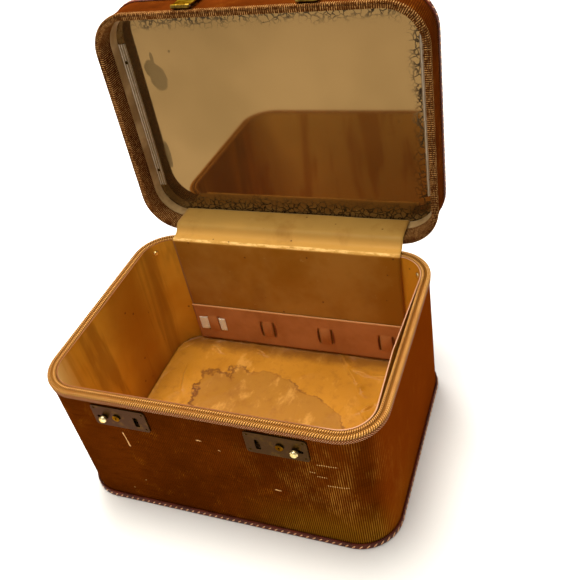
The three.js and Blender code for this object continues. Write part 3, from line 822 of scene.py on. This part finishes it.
def clear_strip_look():
    """Clear plastic gone cloudy, with painted highlights along its ridges."""
    look = Look("clear_strip", roughness=0.22, Transmission_Weight=0.25)
    x, _, _ = look.split(look.place())
    mist = look.noise(look.place((1, 1, 0.2)), 160, 3, 0.6)
    base = look.mix(mist.step(0.35, 0.7), rgb(176, 150, 112), rgb(130, 104, 66))
    # painted highlight: pale lines along the strip's three ridges
    ridge = (abs(x) - STRIP_X * MM).wave(0.003).step(0.72, 0.95)
    look.colour(look.mix(ridge, base, rgb(240, 226, 196)))
    look.rough(mist * 0.3 + 0.12)
    look.bump(mist, 0.0002, 0.3)
    return look


def brass_look(name, dark, bright, amount, metallic):
    """Plated brass, tarnished in the flats and rubbed bright where fingers touch it."""
    look = Look(name, roughness=0.34, metallic=metallic, Specular_Tint=(0.55, 0.36, 0.12, 1.0))
    spot = look.place()
    cloud = look.noise(spot, 120, 5, 0.65)
    pits = look.noise(spot, 1400, 3, 0.7)
    look.colour(look.mix(cloud.step(*amount), dark, bright))
    look.rough(pits * 0.25 + 0.2)
    look.bump(pits, 0.00008, 0.4)
    return look


def brushed_satin():
    """The lid's inner band: shiny taupe satin."""
    look = Look("lid_satin", roughness=0.34, Sheen_Weight=0.1)
    spot = look.place()
    cloud = look.noise(spot, 26, 4, 0.6)
    thread = look.noise(look.place((1, 1, 8)), 500, 3, 0.6)
    look.colour(look.mix(cloud.step(0.35, 0.68), rgb(146, 112, 64), rgb(196, 164, 114)))
    look.rough(thread * 0.3 + 0.22)
    look.bump(thread, 0.00012, 0.5)
    return look


def steel_look():
    """Brushed steel with a little rust."""
    look = Look("plated_steel", roughness=0.38, metallic=1.0)
    spot = look.place()
    rust = look.noise(spot, 160, 5, 0.7)
    brushed = look.noise(look.place((0.05, 1, 1)), 2600, 3)
    look.colour(look.mix(rust.step(0.58, 0.74), rgb(132, 124, 108), rgb(92, 58, 30)))
    look.rough(rust * 0.35 + 0.18)
    look.bump(brushed, 0.00005, 0.5)
    return look


def wood_look():
    """Plywood grain along the wall."""
    look = Look("plywood", roughness=0.7)
    grain = look.noise(look.place((1, 1, 9)), 34, 6, 0.65, 0.6)
    look.colour(look.mix((grain - 0.3) * 2.5, rgb(118, 74, 36), rgb(176, 128, 78)))
    look.bump(grain, 0.0003, 0.5)
    return look


def thread_look():
    """Pale waxed thread."""
    look = Look("stitch_thread", roughness=0.62, Specular_IOR_Level=0.3)
    spot = look.place()
    twist = look.noise(spot, 900, 3, 0.6)
    look.colour(look.mix(twist.step(0.3, 0.7), rgb(206, 142, 92), rgb(244, 192, 146)))
    look.bump(twist, 0.0002, 0.6)
    return look


CLOTH = case_cloth().material
LID_CLOTH = ribbed_cloth(
    "lid_cloth", rgb(78, 33, 5), rgb(104, 46, 9), rgb(172, 104, 30), (0.5, 0.8)
).material
LID_FOLD_CLOTH = ribbed_cloth(
    "lid_fold_cloth", rgb(70, 34, 8), rgb(106, 60, 22), rgb(220, 166, 100), (0.24, 0.48)
).material
PIPING, TAPE, VALLEY = (
    piping_look(name, rgb(*gold), rgb(*light), rgb(*shade), slant).material
    for name, gold, light, shade, slant in (
        ("rim_piping", (184, 124, 46), (238, 190, 126), (64, 28, 4), 0.4),
        ("rim_tape", (150, 84, 30), (244, 190, 146), (62, 24, 4), -0.8),
        ("rim_valley_cloth", (128, 82, 20), (160, 108, 36), (72, 36, 6), -0.8),
    )
)
WELT, GRIP, UNDERSIDE = (
    leather_look(name, rgb(*dark), rgb(*light), scale).material
    for name, dark, light, scale in (
        ("welt_leather", (74, 24, 6), (112, 40, 12), 900),
        ("grip_leather", (72, 34, 14), (118, 62, 26), 700),
        ("underside_board", (60, 30, 14), (84, 46, 24), 500),
    )
)
PLATE_BRASS, EYELET_BRASS, KNOB_BRASS, HASP_BRASS = (
    brass_look(name, rgb(*dark), rgb(*bright), amount, metallic).material
    for name, dark, bright, amount, metallic in (
        ("plate_brass", (56, 38, 2), (92, 66, 8), (0.5, 0.8), 0.75),
        ("eyelet_brass", (84, 56, 12), (150, 108, 36), (0.4, 0.7), 1.0),
        ("knob_brass", (196, 162, 84), (250, 232, 176), (0.3, 0.6), 1.0),
        ("hasp_brass", (84, 62, 20), (166, 136, 62), (0.4, 0.7), 1.0),
    )
)
SATIN_BAND, BOARD, LINING, SATIN, BAND, ELASTIC, MIRROR, STRIP, STEEL, WOOD, THREAD = (
    make().material for make in (
        brushed_satin, card_look, lining_look, satin_look, strap_look, elastic_look, mirror_look,
        clear_strip_look, steel_look, wood_look, thread_look,
    )
)


# --------------------------------------------------------------- body pieces


def ribs(depth):
    """Fine upright ribs as real relief."""
    return lambda along, turn, height: depth * np.cos(2 * math.pi * along / RIB_PITCH)


def woven(depth, slant):
    """Slanted threads of a woven cord as real relief."""
    return lambda along, turn, height: depth * np.cos(
        2 * math.pi * (along / PIPING_PITCH + slant * turn)
    )


def even(size, pitch, samples):
    """A sample count that fits whole repeats round an outline."""
    total = edge_track(size, 8)[3]
    return round(total / pitch) * samples


def cut_pockets(piece):
    """Opens the cover behind each latch plate, for the bolt and the hasp's hook."""
    low, high = (z * MM for z in POCKET_Z)
    near, far = (x * MM for x in POCKET_X)
    front = -0.12
    with editing(piece.data) as shape:
        doomed = []
        for face in shape.faces:
            middle = face.calc_center_median()
            if middle.y < front and low < middle.z < high and near < abs(middle.x) < far:
                doomed.append(face)
        bmesh.ops.delete(shape, geom=doomed, context="FACES")
        for _, side in SIDES:
            rim = [e for e in shape.edges if e.is_boundary and e.verts[0].co.x * side > 0]
            bmesh.ops.bridge_loops(shape, edges=rim)
    piece.data.set_sharp_from_angle(angle=math.radians(40))


body_ribs = even(BODY, RIB_PITCH, 5)
lid_ribs = even(LID_SIZE, RIB_PITCH, 5)
body_cords = even(BODY, PIPING_PITCH, 4)

COVER_ROWS = (5.0, 35.0, 66.0, 97.0, POCKET_Z[0], POCKET_Z[1], 154.5)
cover = hoop("case_cover", BODY, skin_profile((0.1, 0.8), COVER_ROWS), body_ribs, "body", CLOTH,
             "cloth", bump=ribs(0.14), hides=("body_cover",))
cut_pockets(cover)
for name, profile, look, bump, hides in (
    ("rim_piping_outer", round_profile(0.2, 160.8, 1.9, 1.9), PIPING, woven(0.26, 1.0),
     ("rim_binding_outer",)),
    ("rim_tape", rounded((-1.2, 0.3), (154.9, 159.3), 0.6), TAPE, woven(0.2, -2.0), ()),
    ("rim_piping_inner", round_profile(5.6, 161.0, 1.7, 1.75), PIPING, woven(0.26, 0.0),
     ("rim_binding_inner",)),
    ("rim_valley", rounded((1.9, 4.1), (159.4, 161.1), 0.5), VALLEY, woven(0.12, 1.0), ()),
):
    hoop(name, BODY, profile, body_cords, "body", look, "rim_binding", bump=bump, hides=hides)
hoop("base_welt", BODY, rounded((-2.2, -0.15), (0.05, 7.4), 0.95), 420, "body", WELT, "leather",
     hides=("base_binding",))


def stitch_row(name, size, inset, height, tall, lean, body, place=None):
    """Short slanted stitches round an edge, each a small raised thread."""
    centres, normals, _, _ = edge_track(size, even(size, STITCH_PITCH, 1))
    points, faces = [], []
    rings, sides = 5, 6
    half_across, half_out, blunt = 0.75, 0.6, 0.92
    for centre, normal in zip(centres, normals):
        along = Vector((-normal[1], normal[0], 0))
        out = Vector((normal[0], normal[1], 0))
        axis = (along * math.sin(lean) + Vector((0, 0, math.cos(lean)))).normalized()
        across = axis.cross(out)
        middle = Vector((*(centre + normal * (size[2] - inset)), height))
        first = len(points)
        for r in range(rings):
            t = -1 + 2 * r / (rings - 1)
            thick = math.sqrt(max(0.0, 1 - blunt * t * t))
            for k in range(sides):
                turn = 2 * math.pi * k / sides
                points.append(tuple(
                    middle + axis * (t * tall / 2)
                    + across * (half_across * thick * math.cos(turn))
                    + out * (half_out * thick * math.sin(turn))
                ))
        faces += tube_faces(sides, rings, first)
        faces.append(tuple(first + k for k in range(sides)))
        faces.append(tuple(first + rings * sides - 1 - k for k in range(sides)))
    return build(name, points, faces, body, THREAD, "leather", place=place, sharp=80)


stitch_row("base_stitching", BODY, -2.3, 3.6, 5.4, 0.75, "body")


def liner_bow(x, y, height):
    """The wall board stands off the wall a little, most along the right side."""
    right = np.clip((x - 120) / 40, 0, 1) * np.clip(1 - np.abs(y + 20) / 100, 0, 1)
    left = np.clip((-x - 120) / 40, 0, 1) * np.clip(1 - np.abs(y) / 100, 0, 1)
    rise = np.clip(height / RIM_Z, 0, 1) ** 2
    return (3.4 * right + 0.9 * left) * rise


hoop("wall_board", BODY, skin_profile((7.8, 8.8), np.linspace(5.2, 162.0, 11)), 360, "body", BOARD,
     "card", shift=liner_bow, hides=("body_liner",))

# folds of the satin: x, y of both ends
CREASES = (
    (52, 112, 68, 92), (68, 92, 96, 84), (60, 98, 84, 70), (96, 84, 140, 90), (84, 70, 92, 58),
    (98, 30, 120, 8), (120, 8, 146, 20), (98, 30, 110, 44), (110, 44, 146, 52), (118, 6, 124, -16),
    (-60, 104, -42, 96), (-120, 100, -100, 92), (-134, 60, -122, 20),
)


def fold_height(x, y):
    """How far the folds in the satin stand up at each point, in millimetres."""
    rise = np.zeros_like(x)
    wander = 1.3 * np.sin(x / 5.3 + y / 9.1) + 0.9 * np.sin(x / 3.1 - y / 4.7)
    for x1, y1, x2, y2 in CREASES:
        run_x, run_y = x2 - x1, y2 - y1
        length = math.hypot(run_x, run_y)
        t = np.clip(((x - x1) * run_x + (y - y1) * run_y) / length ** 2, 0, 1)
        side = ((x - x1) * run_y - (y - y1) * run_x) / length + 0.5 * wander
        over = np.hypot(x - x1 - t * run_x, y - y1 - t * run_y) - np.abs(side)
        far = np.hypot(side, np.maximum(over, 0))
        taper = 1 - 0.75 * np.abs(2 * t - 1) ** 2
        lean = np.where(side > 0, 1.2, 5.0)
        rise = np.maximum(rise, 3.0 * taper * np.exp(-((far / lean) ** 2)))
    return rise


def corners(mesh):
    """The places of a mesh's points."""
    places = np.empty(len(mesh.vertices) * 3)
    mesh.vertices.foreach_get("co", places)
    return places.reshape(-1, 3)


def floor_pad():
    """Satin laid over a thin board: the cloth is cut too wide, so it buckles into creases."""
    cols, rows = 78, 58
    gap, side_gap, top, foot, flare = 10.2, 10.3, 8.0, 5.1, 0.6
    half_w = BODY[0] / 2 - side_gap
    points = np.zeros((rows, cols, 3))
    for c in range(cols):
        across = c / (cols - 1)
        closer = math.sin((across - 0.5) * math.pi * 0.985)
        x = half_w * closer * 0.35 + half_w * (2 * across - 1) * 0.65
        reach = half_depth(BODY, gap, x)
        for r in range(rows):
            y = reach * (2 * r / (rows - 1) - 1)
            lift = 0.5 * noise.noise(Vector((x / 42, y / 42, 3.1)))
            ridge = abs(noise.noise(Vector((x / 30 + 9, y / 55, 1.7))))
            lift += 1.1 * max(0.0, 0.22 - ridge) / 0.22 * 0.6
            points[r, c] = (x, y, top + lift)
    sheet = build("floor_pad", points.reshape(-1, 3), grid_faces(rows, cols), "body", SATIN,
                  "satin", hides=("base_pad",))
    crease(sheet, rows, cols)
    smooth = sheet.modifiers.new("smooth", "SUBSURF")
    smooth.levels = 2
    smooth.boundary_smooth = "PRESERVE_CORNERS"
    bake(sheet)
    places = corners(sheet.data)
    places[:, 2] += fold_height(places[:, 0] / MM, places[:, 1] / MM) * MM
    sheet.data.vertices.foreach_set("co", places.ravel())
    with editing(sheet.data) as shape:
        # the border turns down to the base board and is closed underneath
        rim = [e for e in shape.edges if e.is_boundary]
        made = bmesh.ops.extrude_edge_only(shape, edges=rim)
        for vert in (v for v in made["geom"] if isinstance(v, bmesh.types.BMVert)):
            vert.co.z = foot * MM
            away = Vector((vert.co.x, vert.co.y, 0)).normalized()
            vert.co += away * flare * MM
        bmesh.ops.contextual_create(shape, geom=[e for e in shape.edges if e.is_boundary])
        bmesh.ops.recalc_face_normals(shape, faces=shape.faces)
    sheet.data.shade_smooth()
    sheet.data.set_sharp_from_angle(angle=math.radians(70))


def crease(sheet, rows, cols):
    """Lets the satin settle: it shrinks a little round its pinned border and buckles."""
    start = corners(sheet.data)
    group = sheet.vertex_groups.new(name="held")
    border = [
        r * cols + c for r in range(rows) for c in range(cols)
        if r in (0, rows - 1) or c in (0, cols - 1)
    ]
    group.add(border, 1.0, "REPLACE")
    cloth = sheet.modifiers.new("cloth", "CLOTH")
    for setting, value in (
        ("quality", 6), ("mass", 0.15), ("tension_stiffness", 20), ("compression_stiffness", 20),
        ("bending_stiffness", 0.25), ("vertex_group_mass", "held"), ("shrink_min", -0.035),
    ):
        setattr(cloth.settings, setting, value)
    cloth.settings.effector_weights.gravity = 0.2
    cloth.collision_settings.use_collision = False
    scene = bpy.context.scene
    for frame_number in range(1, 21):
        scene.frame_set(frame_number)
    graph = bpy.context.evaluated_depsgraph_get()
    change = corners(sheet.evaluated_get(graph).data) - start
    sheet.modifiers.clear()
    scene.frame_set(1)
    slide, sink, rise = 0.002, 0.0016, 0.0035
    start[:, :2] += np.clip(change[:, :2], -slide, slide)
    start[:, 2] += np.clip(change[:, 2], -sink, rise)
    sheet.data.vertices.foreach_set("co", start.ravel())


floor_pad()


# --------------------------------------------------- back wall and hinge flap

PANEL_HALF = 135.0
# y, z up the back wall, over the rim and onto the lid
FLAP_PATH = [
    (114.75, 10.4), (114.75, 60.0), (114.75, 110.0), (114.75, 150.0), (114.8, 161.4),
    (115.0, 162.9), (115.9, 163.7), (118.5, 163.9), (125.5, 164.1), (129.2, 167.3),
    (132.6, 172.9), (137.0, 173.9), (150.0, 173.5), (165.3, 173.5),
]


def smooth_path(points, count):
    """Even steps along a line of points with its corners eased."""
    line = np.array(points, float)
    for _ in range(2):
        cut = [line[0]]
        for a, b in zip(line[:-1], line[1:]):
            cut += [a * 0.75 + b * 0.25, a * 0.25 + b * 0.75]
        cut.append(line[-1])
        line = np.array(cut)
    far = np.concatenate(([0], np.cumsum(np.linalg.norm(np.diff(line, axis=0), axis=1))))
    even_steps = np.linspace(0, far[-1], count)
    return np.stack([np.interp(even_steps, far, line[:, k]) for k in (0, 1)], 1), far[-1]


def lining_flap():
    """Lining cloth up the back wall and across to the lid."""
    rows, cols = 120, 70
    path, length = smooth_path(FLAP_PATH, rows)
    points = np.zeros((rows, cols, 3))
    uvs = np.zeros((rows, cols, 2))
    for r, (y, z) in enumerate(path):
        t = r / (rows - 1)
        free = max(0.0, min(1.0, (z - 150) / 12)) if y < 116 else 1.0
        for c in range(cols):
            x = PANEL_HALF * (2 * c / (cols - 1) - 1)
            wave = noise.noise(Vector((x / 60, t * 4, 5.0)))
            ripple = noise.noise(Vector((x / 16, t * 9, 8.0)))
            lift = free * (0.35 + 0.5 * wave + 0.2 * ripple)
            back = (1 - free) * 0.18 * (1 + wave)
            points[r, c] = (x, y - back - 0.35 * free * abs(wave), z + max(0.0, lift))
            uvs[r, c] = (x * MM, t * length * MM)
    flap = grid_sheet("lining_flap", points, 0.7, None, LINING, "lining", uvs=uvs, offset=1.0,
                      hides=("hinge_flap",), sharp=60)
    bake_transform(flap)


def back_board():
    """The card behind the flap."""
    shape = rounded((-PANEL_HALF, PANEL_HALF), (10.0, 161.2), 1.5)
    front, back = 114.95, 115.85
    count = len(shape)
    points = [(x, front, z) for x, z in shape] + [(x, back, z) for x, z in shape]
    faces = [tuple(range(count)), tuple(range(2 * count - 1, count - 1, -1))]
    faces += [(k, k + count, (k + 1) % count + count, (k + 1) % count) for k in range(count)]
    build("back_board", points, faces, "body", BOARD, "card", hides=("back_panel",))


def bottle_loops():
    """A band across the back wall, slit in pairs so that it stands out as loops."""
    low, high = BAND_Z
    middle_z = sum(SLIT_Z) / 2
    bulge_half, flat_half, bulge_rise, flat_rise = 7.2, 14.0, 2.0, 0.5
    edges = {
        centre + side * SLIT_OFF + end * SLIT_HALF_WIDTH
        for centre in SLIT_CENTRES for side in (-1, 1) for end in (-1, 1)
    }
    xs = sorted(edges | set(np.linspace(-PANEL_HALF, PANEL_HALF, 91).tolist()))
    xs = [x for x in xs if x in edges or all(abs(x - e) > 0.5 for e in edges)]
    zs = sorted(set(SLIT_Z) | set(np.linspace(low, high, 29).tolist()))
    points = np.zeros((len(zs), len(xs), 3))
    for r, z in enumerate(zs):
        for c, x in enumerate(xs):
            bulge = 0.0
            for centre in SLIT_CENTRES:
                near = abs(x - centre)
                if near <= bulge_half:
                    tall = max(0.0, 1 - ((z - middle_z) / 12.5) ** 2)
                    bulge = bulge_rise * math.cos(near / bulge_half * math.pi / 2) ** 0.6 * tall
                elif near <= flat_half:
                    tall = max(0.0, 1 - ((z - middle_z) / 14) ** 2)
                    bulge = flat_rise * tall * min(1.0, (flat_half - near) / 5.2)
            wave = 0.25 * noise.noise(Vector((x / 40, z / 30, 2.0)))
            points[r, c] = (x, 112.5 - bulge - 0.2 + wave, z)
    skip = np.zeros((len(zs) - 1, len(xs) - 1), bool)
    for r in range(len(zs) - 1):
        for c in range(len(xs) - 1):
            middle = (xs[c] + xs[c + 1]) / 2
            height = (zs[r] + zs[r + 1]) / 2
            in_slit = any(
                abs(abs(middle - centre) - SLIT_OFF) < SLIT_HALF_WIDTH - 0.01
                for centre in SLIT_CENTRES
            )
            skip[r, c] = in_slit and SLIT_Z[0] < height < SLIT_Z[1]
    band = grid_sheet("bottle_loops", points, 0.8, "body", BAND, "lining", offset=0.0,
                      hides=("bottle_strap",), skip=skip, sharp=60)


def elastic_loop():
    """White elastic left threaded through the first pair of slits."""
    centre = SLIT_CENTRES[0]
    half = ((6.4, 113.5), (8.0, 112.2), (9.4, 111.2), (13.0, 110.9))
    path = [(centre - 18.5, 111.3)] + [(centre - x, y) for x, y in reversed(half)]
    path += [(centre, 113.6)] + [(centre + x, y) for x, y in half] + [(centre + 17, 111.3)]
    line, length = smooth_path(path, 48)
    rows = 15
    points = np.zeros((rows, len(line), 3))
    for r in range(rows):
        for c, (x, y) in enumerate(line):
            z = 27 + ELASTIC_WIDTH * r / (rows - 1)
            points[r, c] = (x, y + 0.06 * math.cos(r * math.pi), z + 0.3 * math.sin(x / 4))
    ribbon = grid_sheet("elastic_loop", points, 0.45, "body", ELASTIC, "elastic", offset=0.0,
                        hides=("elastic_ribbon",))


back_board()
lining_flap()
bottle_loops()
elastic_loop()


# ---------------------------------------------------------------- lid pieces

hoop(
    "lid_cover_cloth", LID_SIZE, skin_profile((0.05, 0.8), (5.9, 16.0, 27.0, 37.0)), lid_ribs,
    "lid", LID_CLOTH, "cloth", bump=ribs(0.14), place=LID, hides=("lid_cover",),
)
hoop("lid_rim_edge", LID_SIZE, rounded((-0.8, 2.0), (0.1, 6.0), 1.2), lid_ribs,
     "lid", LID_FOLD_CLOTH, "rim_binding", bump=ribs(0.16), place=LID, hides=("lid_rim_binding",))
hoop("lid_inner_fold", LID_SIZE, [
    (1.9, 0.45), (2.0, 0.1), (3.0, -0.05), (4.6, 0.0), (5.5, 0.4), (5.95, 1.4), (6.05, 6.0),
    (6.05, 12.0), (6.0, 19.6), (5.8, 20.0), (5.2, 20.0), (5.2, 10.0), (5.15, 1.6), (4.6, 0.7),
], lid_ribs, "lid", LID_FOLD_CLOTH, "cloth", bump=ribs(0.14), place=LID, hides=("lid_turn_in",))
hoop("lid_satin_band", LID_SIZE, [
    (5.3, 20.2), (6.3, 20.2), (6.6, 22.0), (6.7, 26.0), (6.7, 30.0), (6.9, 31.6), (6.6, 32.3),
    (5.4, 32.4),
], 420, "lid", SATIN_BAND, "satin", place=LID, hides=("lid_liner",))
hoop("lid_welt", LID_SIZE, [
    (-0.3, 37.2), (-0.3, 44.5), (3.0, 44.5), (3.0, 45.2), (1.5, 45.3), (-0.2, 45.3),
    (-1.1, 44.9), (-1.5, 44.0), (-1.5, 38.0), (-1.2, 37.3), (-0.8, 37.0),
], 420, "lid", WELT, "leather", place=LID, hides=("lid_top_binding",))
stitch_row("lid_stitching", LID_SIZE, -1.5, 41.0, 4.2, 0.7, "lid", place=LID)


def lid_top_skin():
    """The ribbed cloth on the lid's top, laid over a slight crown."""
    inset = 3.2
    half_w, half_d = LID_SIZE[0] / 2 - inset, LID_SIZE[1] / 2 - inset
    cols = round(2 * half_w / RIB_PITCH) * 5
    rows = 14
    points = np.zeros((rows, cols, 3))
    uvs = np.zeros((rows, cols, 2))
    for c in range(cols):
        x = half_w * (2 * c / (cols - 1) - 1)
        reach = max(0.5, half_depth(LID_SIZE, inset, x))
        for r in range(rows):
            y = reach * (2 * r / (rows - 1) - 1)
            crown = 1.4 * (1 - (x / half_w) ** 2) * (1 - (y / half_d) ** 2)
            rib = 0.14 * math.cos(2 * math.pi * x / RIB_PITCH)
            points[r, c] = (x, y, 44.9 + crown + rib)
            uvs[r, c] = (x * MM, y * MM)
    grid_sheet("lid_top_skin", points, 0.6, "lid", LID_CLOTH, "cloth", uvs=uvs,
               place=LID, hides=("lid_top_cover",))


lid_top_skin()

slab("mirror_glass", LID_SIZE, 5.5, (32.75, 35.65), 0.5, "lid", MIRROR, "mirror_glass",
     place=LID, hides=("mirror",))


def retaining_strip(name, side, node):
    """A clear strip with three ridges and cut ends, holding the mirror's edge."""
    middle = side * STRIP_X
    half = ((0.5, 31.05), (1.0, 31.5), (2.8, 31.4), (3.5, 31.0), (4.2, 31.1), (4.5, 31.5),
            (4.5, 32.45))
    section = [(-x, z) for x, z in reversed(half)] + list(half)
    end, narrowed = 86, 0.93
    stops = (-end, -85.6, -70, -69.5, 0, 69.5, 70, 85.6, end)
    count = len(section)
    points = []
    for y in stops:
        share = narrowed if abs(y) == end else 1
        points += [(middle + x * share, y, z) for x, z in section]
    faces = [tuple(range(count)), tuple(range(len(points) - 1, len(points) - count - 1, -1))]
    faces += tube_faces(count, len(stops))
    piece = build(name, points, faces, "lid", STRIP, "clear_plastic", place=LID, hides=(node,))
    outward(piece)


for side_name, side in SIDES:
    retaining_strip(f"retaining_strip_{side_name}", side, f"mirror_strip_{side_name}")


# ------------------------------------------------------------------ hardware

def latch_spring(side_name):
    """The latch's wire spring, with its edges eased and a mesh of its own."""
    node = f"latch_spring_{side_name}"
    piece = refine(node, f"{node}_wire", "body", STEEL, 0.05)
    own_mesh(piece)


for side_name, side in SIDES:
    for node, body, look, slot, width in (
        ("stay_rivet", "body", KNOB_BRASS, "brass", 0.3),
        ("hinge_body_leaf", "body", STEEL, "steel", 0.25),
        ("hinge_pin", "body", STEEL, "steel", 0.3),
        ("latch_plate", "body", PLATE_BRASS, "brass", 0.22),
        ("latch_bolt", f"latch_slide_{side_name}", PLATE_BRASS, "brass", 0.2),
        ("latch_knob", f"latch_slide_{side_name}", KNOB_BRASS, "brass", 0.3),
        ("key_barrel", f"key_{side_name}", EYELET_BRASS, "brass", 0.12),
        ("hinge_lid_leaf", "lid", STEEL, "steel", 0.25),
        ("hasp_bracket", "lid", HASP_BRASS, "brass", 0.2),
        ("hasp_pin", "lid", STEEL, "steel", 0.2),
        ("hasp", f"hasp_{side_name}", HASP_BRASS, "brass", 0.2),
        ("handle_bracket", "lid", PLATE_BRASS, "brass", 0.25),
        ("handle_pin", "lid", STEEL, "steel", 0.25),
    ):
        refine(f"{node}_{side_name}", f"{node}_{side_name}_metal", body, look, width)
    for end in ("upper", "lower"):
        refine(f"strip_pin_{side_name}_{end}", f"strip_pin_{side_name}_{end}_head", "lid",
               PLATE_BRASS, 0.25)
    latch_spring(side_name)

refine("handle_bail", "handle_bail_metal", "handle", STEEL, 0.2)


def handle_grip():
    """A leather grip rolled round the bail, with a raised seam along one side."""
    length, reach, axis = 82.0, 34.0, 54.0
    rings, sides, bore = 40, 28, 2.5

    def on_ring(t, turn, radius):
        return t * length / 2, reach + radius * math.cos(turn), axis + radius * math.sin(turn)

    points = []
    for r in range(rings + 1):
        t = 2 * r / rings - 1
        end = max(0.0, abs(t) - 0.9) / 0.1
        size = 6.6 + 0.9 * (1 - t * t)
        size *= math.sqrt(max(0.0, 1 - 0.55 * end ** 2))
        for k in range(sides):
            turn = 2 * math.pi * k / sides
            seam = 0.6 * math.exp(-((turn - math.pi) / 0.16) ** 2)
            finger = 0.18 * math.cos(t * math.pi * 4)
            radius = size + seam + finger
            points.append(on_ring(t, turn, radius))
    for t in (-1, 1):
        points += [on_ring(t, 2 * math.pi * k / sides, bore) for k in range(sides)]
    first, last = (rings + 1) * sides, (rings + 2) * sides
    faces = tube_faces(sides, rings + 1)
    for k in range(sides):
        k2 = (k + 1) % sides
        faces.append((k, k2, first + k2, first + k))
        faces.append((rings * sides + k, last + k, last + k2, rings * sides + k2))
        faces.append((first + k, first + k2, last + k2, last + k))
    piece = build("handle_grip_leather", points, faces, "handle", GRIP, "leather", place=LID,
                  hides=("handle_grip",), sharp=50)
    outward(piece)


handle_grip()

for node, look in (
    ("body_wall", WOOD), ("base_board", UNDERSIDE), ("lid_wall", WOOD), ("lid_panel", WOOD),
    ("mirror_backing", BOARD),
):
    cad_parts[node].data.materials.clear()
    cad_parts[node].data.materials.append(look)


# --------------------------------------------------------------------- light


def area_light(name, place, target, size, power, colour=(1, 1, 1)):
    data = bpy.data.lights.new(name, "AREA")
    data.shape = "DISK"
    data.size = size
    data.energy = power
    data.color = colour
    lamp = bpy.data.objects.new(name, data)
    bpy.context.collection.objects.link(lamp)
    lamp.location = place
    lamp.rotation_mode = "QUATERNION"
    aim = Vector(target) - Vector(place)
    lamp.rotation_quaternion = aim.to_track_quat("-Z", "Y")


area_light("overhead", (-0.2, 0.16, 2.1), (0, 0, 0.1), 1.2, 58, (1, 0.96, 0.88))
area_light("front_fill", (-0.7, -1.8, 1.5), (0, 0, 0.15), 1.2, 4, (1, 0.96, 0.9))
area_light("backdrop_wash", (-1.2, 1.9, 2.4), (-0.9, 2.4, 0), 1.6, 90, (1, 0.98, 0.96))
bpy.context.scene.view_settings.view_transform = "Standard"

world = bpy.data.worlds.new("studio")
bpy.context.scene.world = world
world.use_nodes = True
sky = world.node_tree.nodes["Background"].inputs
sky["Color"].default_value = (1, 0.975, 0.94, 1)
sky["Strength"].default_value = 0.5

floor_mesh = bpy.data.meshes.new("floor")
floor_mesh.from_pydata([(-6, -6, 0), (6, -6, 0), (6, 6, 0), (-6, 6, 0)], [], [(0, 1, 2, 3)])
floor = bpy.data.objects.new("floor", floor_mesh)
floor_look = Look("floor_paper", roughness=0.9)
floor_look.colour(rgb(246, 244, 240))
floor.data.materials.append(floor_look.material)
bpy.context.collection.objects.link(floor)
